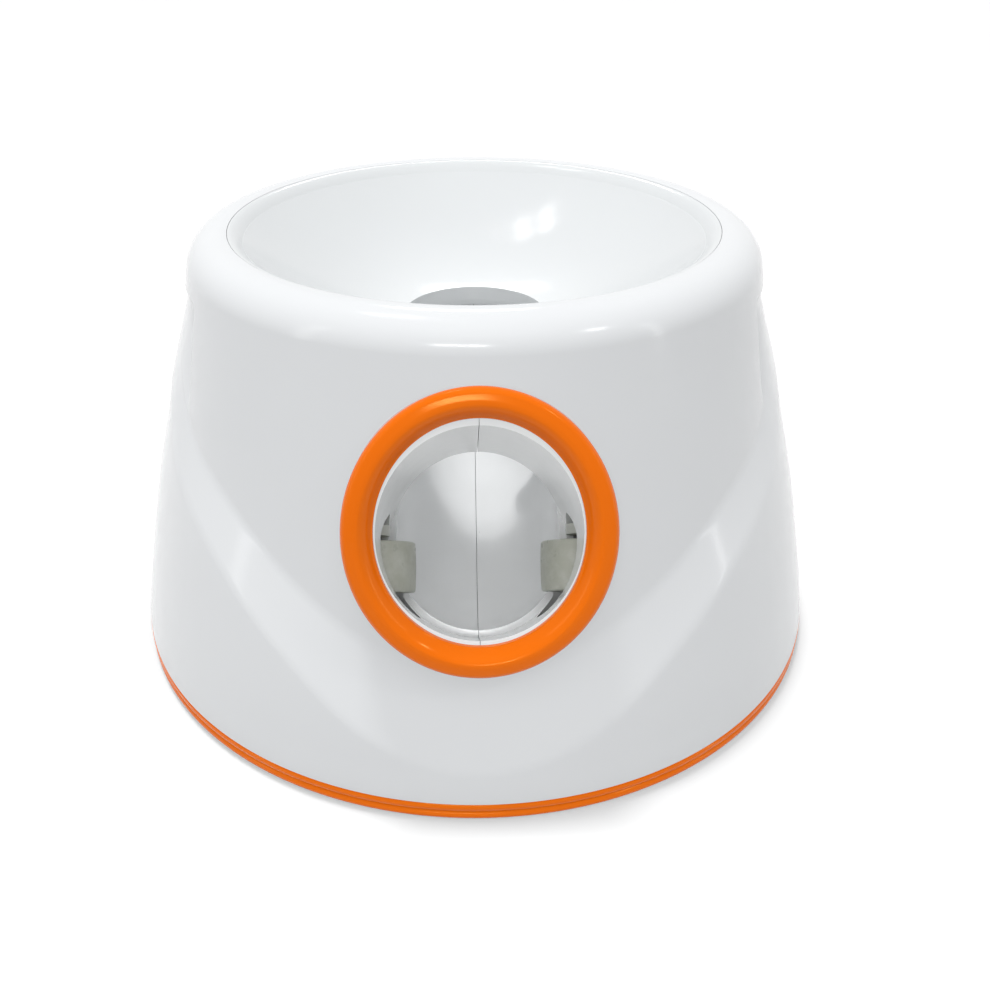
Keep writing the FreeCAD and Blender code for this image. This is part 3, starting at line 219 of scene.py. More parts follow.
class Shader:
    """A material in the making, with short calls for the nodes that finishes share."""

    def __init__(self, name: str) -> None:
        """Start a material whose patterns lie in the piece's own coordinates, in metres."""
        self.material = bpy.data.materials.new(name)
        self.material.use_nodes = True
        self.tree = self.material.node_tree
        self.link = self.tree.links.new
        self.surface = self.tree.nodes["Principled BSDF"]
        self.coordinates = self.add("TexCoord").outputs["Object"]

    def set(self, **values: object) -> None:
        """Set constant values on the surface's own sockets."""
        fill(self.surface, values)

    def add(self, kind: str, **values: object) -> bpy.types.Node:
        """Add a node of a kind and set its sockets."""
        node = self.tree.nodes.new("ShaderNode" + kind)
        fill(node, values)
        return node

    def noise(self, scale: float, detail: float = 3.0, roughness: float = 0.55,
              stretch: Sequence[float] = (1.0, 1.0, 1.0)) -> Socket:
        """Add a cloud pattern and return its grey value.

        Args:
            scale: size of the pattern, larger is finer.
            detail: number of finer layers.
            roughness: weight of the finer layers.
            stretch: enlargement of the coordinates along each axis.

        Returns:
            The pattern's output socket.
        """
        vector = self.coordinates
        if tuple(stretch) != (1.0, 1.0, 1.0):
            mapping = self.add("Mapping", Scale=stretch)
            self.link(vector, mapping.inputs["Vector"])
            vector = mapping.outputs["Vector"]
        node = self.add("TexNoise", Scale=scale, Detail=detail, Roughness=roughness)
        self.link(vector, node.inputs["Vector"])
        return node.outputs["Fac"]

    def cells(self, scale: float) -> Socket:
        """Add a cell pattern and return the distance to the nearest cell's middle."""
        node = self.add("TexVoronoi", Scale=scale)
        self.link(self.coordinates, node.inputs["Vector"])
        return node.outputs["Distance"]

    def bands(self, scale: float, axis: Axis, distortion: float) -> Socket:
        """Add parallel bands stacked along an axis and return their grey value."""
        node = self.add("TexWave", Scale=scale, Distortion=distortion)
        node.bands_direction = axis.name
        self.link(self.coordinates, node.inputs["Vector"])
        return node.outputs["Fac"]

    def blend(self, grey: Socket, low: Sequence[float], high: Sequence[float],
              span: tuple[float, float] = (0.35, 0.65)) -> Socket:
        """Turn a grey value into a mix of two colours over a span."""
        ramp = self.add("ValToRGB")
        for element, position, colour in zip(ramp.color_ramp.elements, span, (low, high)):
            element.position = position
            element.color = (*colour, 1.0)
        self.link(grey, ramp.inputs["Fac"])
        return ramp.outputs["Color"]

    def colour(self, socket: Socket) -> None:
        """Feed the base colour."""
        self.link(socket, self.surface.inputs["Base Color"])

    def roughness(self, grey: Socket, low: float, high: float) -> None:
        """Let a grey value vary the roughness between two limits."""
        node = self.add("MapRange", From_Min=0.3, From_Max=0.7, To_Min=low, To_Max=high)
        self.link(grey, node.inputs["Value"])
        self.link(node.outputs["Result"], self.surface.inputs["Roughness"])

    def bumps(self, *layers: tuple[Socket, float]) -> None:
        """Stack bump layers, each a grey value and its height in millimetres."""
        normal = None
        for grey, height in layers:
            node = self.add("Bump", Strength=1.0, Distance=height * MM)
            self.link(grey, node.inputs["Height"])
            if normal is not None:
                self.link(normal, node.inputs["Normal"])
            normal = node.outputs["Normal"]
        self.link(normal, self.surface.inputs["Normal"])


@dataclass(frozen=True)
class MouldedPlastic:
    """Injection moulded plastic: an even colour, a faint ripple in the gloss and light handling marks."""

    name: str
    base: Colour
    gloss: float = 0.16
    ripple: float = 0.0016
    grain: float = 0.0
    tint: Colour = (1.0, 1.0, 1.0)

    def material(self) -> bpy.types.Material:
        """Build the material."""
        shader = Shader(self.name)
        drift = shader.noise(9.0, 2.0)
        marks = shader.noise(70.0, 5.0, 0.7)
        shader.colour(shader.blend(drift, scaled(self.base, 0.975), self.base, (0.3, 0.7)))
        shader.roughness(marks, self.gloss, self.gloss * 1.35 + 0.02)
        layers = [(shader.noise(60.0, 2.0), self.ripple)]
        if self.grain:
            layers.append((shader.noise(2600.0, 2.0), self.grain))
        shader.bumps(*layers)
        shader.set(IOR=1.5, Specular_Tint=(*self.tint, 1.0))
        return shader.material


@dataclass(frozen=True)
class Rubber:
    """Moulded rubber or soft polyurethane: fine skin and dust in its pores."""

    name: str
    base: Colour
    dust: Colour
    gloss: float = 0.55
    pore: float = 0.02
    bleed: float = 0.0
    bleed_depth: float = 3.0

    def material(self) -> bpy.types.Material:
        """Build the material."""
        shader = Shader(self.name)
        shader.colour(shader.blend(shader.noise(160.0, 4.0, 0.65), self.base, self.dust, (0.42, 0.72)))
        shader.roughness(shader.noise(300.0, 3.0), self.gloss - 0.08, self.gloss + 0.14)
        shader.bumps((shader.noise(2200.0, 2.0), self.pore), (shader.noise(420.0, 2.0), self.pore * 1.5))
        if self.bleed:
            depth = (self.bleed_depth * MM,) * 3
            shader.set(Subsurface_Weight=self.bleed, Subsurface_Radius=depth, Subsurface_Scale=1.0)
        return shader.material


@dataclass(frozen=True)
class Metal:
    """Bare or plated metal with brushing along one direction and a little tarnish."""

    name: str
    base: Colour
    gloss: float = 0.28
    brushing: Sequence[float] = (1.0, 1.0, 14.0)

    def material(self) -> bpy.types.Material:
        """Build the material."""
        shader = Shader(self.name)
        clouds = shader.noise(90.0, 5.0, 0.6)
        shader.colour(shader.blend(clouds, scaled(self.base, 0.78), self.base, (0.3, 0.6)))
        streaks = shader.noise(500.0, 2.0, 0.5, self.brushing)
        shader.roughness(streaks, self.gloss - 0.08, self.gloss + 0.1)
        shader.bumps((streaks, 0.003))
        shader.set(Metallic=1.0)
        return shader.material


@dataclass(frozen=True)
class WoundWire:
    """Lacquered copper wire laid in fine turns across an axis."""

    name: str
    axis: Axis
    base: Colour = (0.42, 0.13, 0.04)

    def material(self) -> bpy.types.Material:
        """Build the material."""
        shader = Shader(self.name)
        turns = shader.bands(420.0, self.axis, 0.4)
        shader.colour(shader.blend(turns, scaled(self.base, 0.35), self.base, (0.1, 0.6)))
        shader.bumps((turns, 0.12))
        shader.roughness(shader.noise(200.0), 0.25, 0.4)
        shader.set(Metallic=0.65, Coat_Weight=0.4)
        return shader.material


@dataclass(frozen=True)
class CircuitBoard:
    """Solder mask over etched copper: faint tracks under a satin lacquer."""

    name: str
    base: Colour = (0.012, 0.12, 0.05)

    def material(self) -> bpy.types.Material:
        """Build the material."""
        shader = Shader(self.name)
        tracks = shader.cells(340.0)
        shader.colour(shader.blend(tracks, scaled(self.base, 1.9, 0.01), self.base, (0.28, 0.34)))
        shader.bumps((tracks, 0.03))
        shader.roughness(shader.noise(120.0), 0.25, 0.42)
        return shader.material


@dataclass(frozen=True)
class ClearPlastic:
    """Clear moulded plastic with a slight milkiness."""

    name: str
    base: Colour = (0.86, 0.95, 0.9)

    def material(self) -> bpy.types.Material:
        """Build the material."""
        shader = Shader(self.name)
        shader.colour(shader.blend(shader.noise(250.0), scaled(self.base, 0.9), self.base))
        shader.roughness(shader.noise(400.0), 0.08, 0.2)
        shader.bumps((shader.noise(700.0), 0.004))
        shader.set(Transmission_Weight=0.7, IOR=1.49)
        return shader.material


class Finishes:
    """Every finish of the launcher, built once."""

    def __init__(self) -> None:
        """Build the materials."""
        plastic, rubber = MouldedPlastic, Rubber
        self.shell = plastic("shell white gloss", (0.745, 0.76, 0.775), 0.12).material()
        self.funnel = plastic("funnel white gloss", (0.70, 0.72, 0.73), 0.1).material()
        self.orange = plastic("trim orange gloss", (0.86, 0.15, 0.0), 0.12, tint=(1.0, 0.6, 0.2)).material()
        # The chute's white is painted brighter than the shell's: painted light that brightens the inside of
        # the barrel and the throat.
        self.chute = plastic("chute white gloss", (0.92, 0.93, 0.935), 0.12, 0.004).material()
        self.pan = plastic("pan white texture", (0.66, 0.67, 0.69), 0.42, 0.002, 0.02).material()
        self.panel = plastic("panel grey satin", (0.58, 0.60, 0.63), 0.34, 0.001, 0.006).material()
        self.button_orange = plastic("button orange", (0.84, 0.13, 0.005), 0.24, grain=0.004).material()
        self.button_grey = plastic("button grey", (0.24, 0.255, 0.28), 0.28, grain=0.004).material()
        self.hub = plastic("hub ivory", (0.62, 0.63, 0.58), 0.25).material()
        self.dark = plastic("dark moulding", (0.018, 0.018, 0.02), 0.38, grain=0.01).material()
        self.print_white = plastic("marking white", (0.82, 0.83, 0.84), 0.4).material()
        self.print_grey = plastic("marking grey", (0.12, 0.125, 0.135), 0.45).material()
        self.tyre = rubber("roller polyurethane", (0.42, 0.43, 0.37), (0.50, 0.51, 0.46), 0.34, 0.004,
                           0.3).material()
        self.feet = rubber("feet rubber", (0.02, 0.02, 0.021), (0.06, 0.058, 0.055)).material()
        self.ferrite = rubber("sintered ferrite", (0.03, 0.03, 0.034), (0.06, 0.06, 0.065), 0.6,
                              0.01).material()
        self.steel = Metal("plated steel", (0.62, 0.63, 0.65)).material()
        self.screw = Metal("zinc screws", (0.55, 0.56, 0.58), 0.24, (1.0, 1.0, 1.0)).material()
        self.contact = Metal("nickel contacts", (0.66, 0.65, 0.60), 0.2).material()
        self.bronze = Metal("sintered bronze", (0.66, 0.43, 0.17), 0.34).material()
        self.winding = WoundWire("solenoid winding", Axis.X).material()
        self.armature = WoundWire("armature winding", Axis.Z, (0.33, 0.11, 0.04)).material()
        self.board = CircuitBoard("board green").material()
        self.clear = ClearPlastic("light pipe").material()


# Housing


@dataclass(frozen=True)
class OuterForm:
    """The outside of the housing as a radius for every direction and height, in millimetres.

    Two shields rise as one cone to the rolled rim. Petals grow out of them below two creases, and a
    finger grip is scooped out under the rim on each side.
    """

    rim_height: float = 168.0
    rim_tube: float = 13.2
    rim_circle: float = 95.9
    shield_radius: float = 109.3
    shield_top: float = 155.0
    shield_slope: float = 0.2
    petal_radius: tuple[float, ...] = (146.3, 146.0, 143.8, 137.4, 129.9, 124.0, 119.7, 115.5, 111.5, 109.0)
    petal_height: tuple[float, ...] = (0.0, 8.0, 20.6, 50.0, 80.0, 100.0, 117.0, 130.0, 145.0, 155.0)
    inner_crease: tuple[float, ...] = (53.0, 58.5, 75.0, 93.0, 106.5, 128.0, 140.0)
    outer_crease: tuple[float, ...] = (20.6, 30.0, 53.5, 75.5, 91.5, 107.0, 124.0)
    crease_step: float = 15.0
    crease_softness: float = 2.6
    grip_half_angle: float = 26.0
    grip_overlap: float = 0.7
    grip_fade: float = 1.8
    grip_softness: float = 1.0
    grip_points: tuple[tuple[float, float], ...] = ((109.9, 151.6), (107.0, 135.0), (117.9, 112.0))

    def cone(self, height: Points) -> Points:
        """Radius of the shields: it grows evenly from the rim down."""
        return self.shield_radius + self.shield_slope * (self.shield_top - height)

    def petal(self, height: Points) -> Points:
        """Radius of the petals: cubic spans through the outline's points with matched slopes."""
        heights, radii = np.array(self.petal_height), np.array(self.petal_radius)
        slopes = np.gradient(radii, heights)
        index = np.clip(np.searchsorted(heights, height) - 1, 0, len(heights) - 2)
        span = heights[index + 1] - heights[index]
        t = np.clip((height - heights[index]) / span, 0.0, 1.0)
        start, end = radii[index], radii[index + 1]
        return ((1 + 2 * t) * (1 - t) ** 2 * start + t * (1 - t) ** 2 * span * slopes[index]
                + t * t * (3 - 2 * t) * end + t * t * (t - 1) * span * slopes[index + 1])

    def crease(self, table: Sequence[float], turn: Points) -> Points:
        """Height of a crease: a smooth curve through a table of one quarter, mirrored all round."""
        folded = np.abs((turn + 90.0) % 180.0 - 90.0) / self.crease_step
        values = np.array([table[1], *table, table[-2]])
        index = np.clip(np.floor(folded).astype(int), 0, len(table) - 2)
        t = folded - index
        a, b, c, d = (values[index + k] for k in range(4))
        return b + 0.5 * t * (c - a + t * (2 * a - 5 * b + 4 * c - d + t * (3 * (b - c) + d - a)))

    def bevel(self, turn: Points, height: Points) -> Points:
        """Radius of the slanted band: a straight line between the two creases."""
        high, low = self.crease(self.inner_crease, turn), self.crease(self.outer_crease, turn)
        start = self.cone(high)
        return start + (high - height) * (self.petal(low) - start) / (high - low)

    def grip(self, height: Points) -> Points:
        """Radius of the finger grip: the near side of the circle through its three points."""
        (a, b), (c, d), (e, f) = self.grip_points
        matrix = np.array([[c - a, d - b], [e - a, f - b]])
        middle = 0.5 * np.array([c * c - a * a + d * d - b * b, e * e - a * a + f * f - b * b])
        centre = np.linalg.solve(matrix, middle)
        radius = math.hypot(a - centre[0], b - centre[1])
        return centre[0] - np.sqrt(np.clip(radius ** 2 - (height - centre[1]) ** 2, 0.0, None))

    def radius(self, turn: Points, height: Points) -> Points:
        """Radius of the whole outside, with soft creases and the grips scooped out.

        Args:
            turn: angle from the front in degrees.
            height: height above the floor.

        Returns:
            The radius at each direction and height.
        """
        turn, height = np.broadcast_arrays(np.asarray(turn, float), np.asarray(height, float))
        soft = self.crease_softness
        high, low = self.crease(self.inner_crease, turn), self.crease(self.outer_crease, turn)
        shape = np.where(height >= high, self.cone(height),
                         np.where(height >= low, self.bevel(turn, height), self.petal(height)))
        lower = (self.petal(low - soft), self.petal(low), self.bevel(turn, low + soft))
        upper = (self.bevel(turn, high - soft), self.cone(high), self.cone(high + soft))
        for middle, ends in ((low, lower), (high, upper)):
            t = np.clip((height - middle + soft) / (2 * soft), 0.0, 1.0)
            curve = (1 - t) ** 2 * ends[0] + 2 * t * (1 - t) * ends[1] + t * t * ends[2]
            shape = np.where(np.abs(height - middle) < soft, curve, shape)
        sideways = np.abs(np.abs((turn + 180.0) % 360.0 - 180.0) - 90.0)
        t = np.clip((self.grip_half_angle + self.grip_overlap - sideways) / self.grip_fade, 0.0, 1.0)
        share = t * t * (3 - 2 * t)
        band, scoop = self.bevel(turn, height), self.grip(height)
        floor = 0.5 * (band + scoop + np.sqrt((band - scoop) ** 2 + self.grip_softness ** 2))
        low_end, high_end = self.grip_points[2][1], self.grip_points[0][1]
        inside = (height > low_end) & (height < high_end)
        return shape - np.where(inside, share * np.clip(shape - floor, 0.0, None), 0.0)

    def surface(self, turn: Points, height: Points, sink: float = 0.0) -> Points:
        """Points on the outside, sunk in by a distance along the radius."""
        radius = self.radius(turn, height) - sink
        angle = np.radians(turn)
        return np.stack(np.broadcast_arrays(radius * np.sin(angle), -radius * np.cos(angle), height), -1)


FORM = OuterForm()

# Frames of the slanted assemblies, in millimetres, as the CAD has them

MUZZLE = Vector((0.0, -122.5, 103.2))
BARREL_LEAN = -38.0
BEZEL_LEAN = 15.7
BARREL = Matrix.Translation(MUZZLE) @ Matrix.Rotation(math.radians(BARREL_LEAN), 4, "X")
BEZEL = Matrix.Translation(MUZZLE) @ Matrix.Rotation(math.radians(90.0 - BEZEL_LEAN), 4, "X")
PANEL_HEIGHT = 86.0
PANEL_LEAN = math.atan(FORM.shield_slope) - math.pi / 2
PANEL_PLACE = (0.0, FORM.cone(PANEL_HEIGHT), PANEL_HEIGHT)
PANEL = Matrix.Translation(PANEL_PLACE) @ Matrix.Rotation(PANEL_LEAN, 4, "X")


def oval_points(half_width: float, half_height: float, count: int) -> tuple[Points, Points]:
    """Points and outward directions round an oval: cosine and sine times its half sizes."""
    t = np.linspace(0.0, TURN, count, endpoint=False)
    edge = np.stack([half_width * np.cos(t), half_height * np.sin(t), 0.0 * t], -1)
    out = np.stack([half_height * np.cos(t), half_width * np.sin(t), 0.0 * t], -1)
    return edge, out / np.linalg.norm(out, axis=1, keepdims=True)


def rounded_rectangle(length: float, width: float, corner: float, count: int = 16) -> Points:
    """Points round a rectangle with round corners: a quarter circle at each corner's own centre."""
    spans = []
    for quarter, (sx, sy) in enumerate(((1, 1), (-1, 1), (-1, -1), (1, -1))):
        centre = (sx * (length / 2 - corner), sy * (width / 2 - corner))
        spans.append(arc(centre, corner, 90.0 * quarter, 90.0 * quarter + 90.0, count))
    return np.concatenate(spans)


def prism(outline: Points, reach: float, place: Matrix) -> Solid:
    """Raise a closed outline both ways into a capped prism, its caps closed by rings drawn to the middle."""
    middle = outline.mean(0)
    pinch = 0.001
    rings = [(middle + (outline - middle) * share, height) for share, height in
             ((pinch, -reach), (1.0, -reach), (1.0, reach), (pinch, reach))]
    grid = np.stack([np.column_stack([ring, np.full(len(ring), height)]) for ring, height in rings], 1)
    return to_frame(grid, place).reshape(-1, 3), grid_faces(len(outline), 4, True, True)


def carve(piece: Piece, *cutters: Solid) -> None:
    """Cut solids out of a piece and keep the result as its plain mesh."""
    for index, (points, faces) in enumerate(cutters):
        tool = mesh_piece("%s_cutter_%d" % (piece.name, index), points, faces)
        modifier = piece.modifiers.new("cut", "BOOLEAN")
        modifier.solver = "EXACT"
        modifier.object = tool
        bpy.context.view_layer.update()
        evaluated = piece.evaluated_get(bpy.context.evaluated_depsgraph_get())
        result = bpy.data.meshes.new_from_object(evaluated)
        piece.modifiers.clear()
        piece.data = result
        bpy.data.objects.remove(tool)
    piece.data.shade_smooth()
    piece.data.set_sharp_from_angle(angle=math.radians(SHARP_ANGLE))


@dataclass(frozen=True)
class BossRing:
    """A ring of screw bosses inside the shell, in millimetres, and their directions in degrees."""

    circle: float
    radius: float
    bore: float
    low: float
    high: float
    turns: tuple[int, ...]
    roof: float = 3.0
    columns: int = 24

    def outline(self) -> Points:
        """Section of one boss: a cup with its bore open below."""
        under = self.high - self.roof
        return np.array([(self.bore, self.low), (self.radius, self.low), (self.radius, self.high),
                         (NEAR_AXIS, self.high), (NEAR_AXIS, under), (self.bore, under)])

    def solids(self) -> list[Solid]:
        """Every boss of the ring."""
        places = [Matrix.Translation((self.circle * math.sin(turn), -self.circle * math.cos(turn), 0.0))
                  for turn in np.radians(self.turns)]
        return [turned_solid(self.outline(), place, self.columns) for place in places]


@dataclass(frozen=True)
class FunnelForm:
    """Section of the funnel in millimetres: lip, dish, throat collar, underside, skirt and screw flange."""

    edge: float = 92.85
    top: float = 167.6
    lip_width: float = 5.25
    lip_drop: float = 3.8
    throat: float = 28.0
    throat_top: float = 130.0
    dish_width: float = 59.5
    dish_rise: float = 33.8
    dish_slope: float = 0.36
    wall: tuple[float, float] = (0.6, -3.1)
    collar_radius: float = 30.4
    collar_bottom: float = 122.0
    collar_top: float = 128.0
    skirt_inner: float = 90.1
    skirt_outer: float = 92.6
    skirt_top: float = 163.6
    flange_radius: float = 102.2
    flange_bottom: float = 154.6
    flange_top: float = 157.1

    def outline(self) -> Points:
        """Points round the section: the dish rises by a slope and a square, the lip by a power."""
        turn = np.linspace(0.0, 1.0, 12)
        lip = np.stack([self.edge - self.lip_width * turn, self.top - self.lip_drop * turn ** 1.7], -1)
        share = np.linspace(1.0, 0.0, 64)
        rise = self.dish_slope * share + (1.0 - self.dish_slope) * share ** 2
        dish = np.stack([self.throat + self.dish_width * share, self.throat_top + self.dish_rise * rise], -1)
        collar, foot = self.collar_radius, self.collar_bottom
        inside = line((self.throat, self.throat_top - 0.6), (self.throat, foot + 0.6), 4)
        chamfer = np.array([(self.throat + 0.4, foot), (collar - 0.4, foot), (collar, foot + 0.6)])
        outside = line((collar, foot + 1.0), (collar, self.collar_top), 4)
        under = dish[::-2] + np.array(self.wall)
        under = under[under[:, 0] > collar + 0.8]
        skirt = np.array([(self.skirt_inner - 1.5, self.skirt_top - 2.0), (self.skirt_inner, self.skirt_top),
                          (self.skirt_inner, self.flange_bottom), (self.flange_radius, self.flange_bottom),
                          (self.flange_radius, self.flange_top), (self.skirt_outer, self.flange_top)])
        rim = line((self.skirt_outer, self.flange_top + 0.9), (self.skirt_outer, self.top - 0.7), 5)
        return corners(lip, dish, inside, chamfer, outside, under, skirt, rim)


@dataclass
class Housing:
    """The white outer shell and the funnel that is screwed in under its rim."""

    finishes: Finishes
    form: OuterForm = FORM
    funnel: FunnelForm = FunnelForm()
    base_bosses: BossRing = BossRing(127.0, 4.5, 1.6, 5.5, 39.5, (60, 120, 240, 300))
    funnel_bosses: BossRing = BossRing(99.0, 3.0, 1.1, 157.3, 165.6, (30, 90, 150, 210, 270, 330))
    wall: float = 2.5
    bottom: float = 8.0
    opening: float = 93.0
    lip_bottom: float = 158.0
    lip_inside: float = 6.0
    row_counts: tuple[int, ...] = (22, 14, 14, 14, 52)
    hole_width: float = 38.7
    hole_height: float = 43.1
    panel_width: float = 92.0
    panel_tall: float = 32.0
    panel_corner: float = 9.0
    cut_reach: float = 30.0

    def columns(self) -> Points:
        """Angles round the shell in degrees, closer together at the ends of the grips."""
        grip_end = 90.0 - self.form.grip_half_angle
        spans = ((0.0, grip_end - 2.0, 68), (grip_end - 2.0, grip_end + 2.0, 18), (grip_end + 2.0, 90.0, 26))
        quarter = np.concatenate([np.linspace(*span, endpoint=False) for span in spans])
        half = np.concatenate([quarter, [90.0], 180.0 - quarter[:0:-1]])
        return np.concatenate([half, [180.0], 360.0 - half[:0:-1]])

    def shell_grid(self) -> Points:
        """Points of the closed shell: up the outside, over the rim, down its lip and down the inside."""
        form, soft = self.form, self.form.crease_softness
        turn = self.columns()[:, None]
        low, high = form.crease(form.outer_crease, turn), form.crease(form.inner_crease, turn)
        tilt = math.atan(form.shield_slope)
        centre = (form.rim_circle, form.rim_height - form.rim_tube)
        joint = centre[1] + form.rim_tube * math.sin(tilt)
        stops = [self.bottom + 0.0 * low, low - soft, low + soft, high - soft, high + soft, joint + 0.0 * low]
        shares = [np.linspace(0.0, 1.0, count, endpoint=False)[None] for count in self.row_counts]
        height = np.concatenate([start + (end - start) * share
                                 for start, end, share in zip(stops[:-1], stops[1:], shares)], 1)
        outside = form.surface(turn, height)
        edge = math.degrees(math.acos((self.opening - form.rim_circle) / form.rim_tube))
        crest = arc(centre, form.rim_tube, math.degrees(tilt), edge, 34)
        lip_radius = self.opening + self.wall
        inner_tube = form.rim_tube - self.wall
        top = math.degrees(math.acos((lip_radius - form.rim_circle) / inner_tube))
        lip = corners(crest, line((self.opening, crest[-1, 1]), (self.opening, self.lip_bottom), 4),
                      line((lip_radius, self.lip_bottom), (lip_radius, self.lip_bottom + self.lip_inside), 2),
                      arc(centre, inner_tube, top, math.degrees(tilt), 8))
        angle = np.radians(turn)
        rim = np.stack([lip[:, 0] * np.sin(angle), -lip[:, 0] * np.cos(angle), lip[:, 1] + 0.0 * angle], -1)
        inside = form.surface(turn, height[:, ::-4], self.wall)
        last = form.surface(turn, self.bottom + 0.0 * turn, self.wall)
        return np.concatenate([outside, rim, inside, last], 1)

    def build(self) -> None:
        """Make the shell with its two windows, the bosses and the funnel."""
        shell = grid_piece("housing_shell", self.shell_grid())
        edge, _ = oval_points(self.hole_width, self.hole_height, 160)
        panel = rounded_rectangle(self.panel_width, self.panel_tall, self.panel_corner)
        carve(shell, prism(edge[:, :2], self.cut_reach, BEZEL), prism(panel, self.cut_reach, PANEL))
        finish_piece(shell, "housing", "white_shell", self.finishes.shell, "outer_shell")
        bosses = joined_piece("housing_bosses", self.base_bosses.solids() + self.funnel_bosses.solids())
        finish_piece(bosses, "housing", "white_shell", self.finishes.shell)
        dish = grid_piece("funnel_dish", turned(self.funnel.outline(), 288))
        finish_piece(dish, "housing", "white_funnel", self.finishes.funnel, "funnel_bowl")


@dataclass
class Muzzle:
    """The orange ring round the muzzle, in millimetres from the bezel's plane."""

    finishes: Finishes
    form: OuterForm = FORM
    half_width: float = 38.4
    half_height: float = 42.6
    band: float = 10.0
    crown: float = 4.75
    slope_start: float = 5.2
    slope_drop: float = 0.5
    hollow: float = 3.3
    skirt_wall: float = 2.1
    skirt_inset: float = 0.1
    under: float = 1.25
    least_foot: float = -0.6
    least_inner_foot: float = 1.3

    def section(self) -> Points:
        """Outline of the bead across its band: a round outer shoulder, a crown and a hollow inner slope."""
        half = self.band / 2
        shoulder = arc((half - 2.6, 1.6), 2.7, -6.0, 78.0, 12)
        top = arc((half - 4.9, -1.4), 6.15, 74.0, 92.0, 8)
        share = np.linspace(0.0, 1.0, 16)
        start, end = half - self.slope_start, 0.5 - half
        height = self.crown - self.slope_drop * share - self.hollow * share ** 1.6
        slope = np.stack([start + (end - start) * share, height], -1)
        inner = arc((0.6 - half, 0.3), 0.6, 120.0, 190.0, 6)
        return corners(shoulder, top, slope, inner, np.array([(-half, -1.2)]))

    def sit_depth(self, points: Points, inward: Points) -> Points:
        """Depth along a direction at which points meet the shell's outside, found by halving."""
        near, far = np.full(len(points), -6.0), np.full(len(points), 30.0)
        for _ in range(28):
            middle = 0.5 * (near + far)
            probe = points + middle[:, None] * inward
            turn = np.degrees(np.arctan2(probe[:, 0], -probe[:, 1]))
            outside = np.hypot(probe[:, 0], probe[:, 1]) > self.form.radius(turn, probe[:, 2])
            near, far = np.where(outside, middle, near), np.where(outside, far, middle)
        return 0.5 * (near + far)

    def build(self) -> None:
        """Make the bead with its skirt down to the curved shell."""
        edge, out = oval_points(self.half_width, self.half_height, 320)
        section = self.section()
        up, inward = np.array([0.0, 0.0, 1.0]), -np.array(BEZEL)[:3, 2]
        bead = edge[:, None] + section[None, :, :1] * out[:, None] + section[None, :, 1:] * up
        outer = edge + (self.band / 2 - self.skirt_inset) * out
        inner = outer - self.skirt_wall * out
        rows = [to_frame(bead, BEZEL), to_frame(inner - self.under * up, BEZEL)[:, None]]
        for ring, least in ((inner, self.least_inner_foot), (outer, self.least_foot)):
            foot = to_frame(ring, BEZEL)
            depth = np.maximum(self.sit_depth(foot, inward), least)
            rows.append((foot + depth[:, None] * inward)[:, None])
        ring = grid_piece("muzzle_ring", np.concatenate(rows, 1), sharp=40.0)
        finish_piece(ring, "housing", "orange_trim", self.finishes.orange, "muzzle_bezel")
        ring.visible_diffuse = False


@dataclass
class Base:
    """The orange ring round the foot."""

    finishes: Finishes
    flange: tuple[tuple[float, float], ...] = (
        (145.3, 8.0), (135.0, 8.0), (135.0, 5.5), (139.0, 5.5), (139.0, 0.6), (144.0, 0.6))

    def ring_outline(self) -> Points:
        """Section of the ring: two round beads with a groove between, and the flange inside."""
        low = arc((144.6, 2.25), 1.65, -85.0, 70.0, 12)
        high = arc((144.3, 5.9), 2.0, -62.0, 62.0, 12)
        return corners(low, high, np.array(self.flange))

    def build(self) -> None:
        """Make the ring."""
        ring = grid_piece("base_band", turned(self.ring_outline(), 360), sharp=50.0)
        finish_piece(ring, "housing", "orange_trim", self.finishes.orange, "base_ring")
        ring.visible_diffuse = False


@dataclass
class Rollers:
    """The tyres of the two rollers that throw the ball, in millimetres and placed in the barrel's frame."""

    finishes: Finishes
    aside: float = 40.0
    behind: float = 42.0
    low: float = -17.0
    radius: float = 18.0
    bore: float = 11.0
    width: float = 18.0
    crown: float = 0.25
    shoulder: float = 0.85

    def tyre_outline(self) -> Points:
        """Section of the tyre: a barely crowned tread between rounded shoulders."""
        share = np.linspace(0.0, 1.0, 15)
        sag = self.crown * (2 * share - 1) ** 2
        tread = np.stack([self.radius - sag, 1.0 + (self.width - 2.0) * share], -1)
        low = arc((self.radius - 1.1, 1.0), self.shoulder, -90.0, -5.0, 6)
        high = arc((self.radius - 1.1, self.width - 1.0), self.shoulder, 5.0, 90.0, 6)
        edge = 1.0 - self.shoulder
        first, last = np.array([[(self.bore, edge)], [(self.bore, self.width - edge)]])
        return corners(first, low, tread, high, last)

    def build(self) -> None:
        """Make both tyres."""
        for side, name in ((-1, "left"), (1, "right")):
            place = BARREL @ Matrix.Translation((side * self.aside, self.behind, self.low))
            tyre = joined_piece(name + "_tyre_tread", [turned_solid(self.tyre_outline(), place, 144)])
            finish_piece(tyre, name + "_roller", "tyre_rubber", self.finishes.tyre, name + "_roller_tyre")


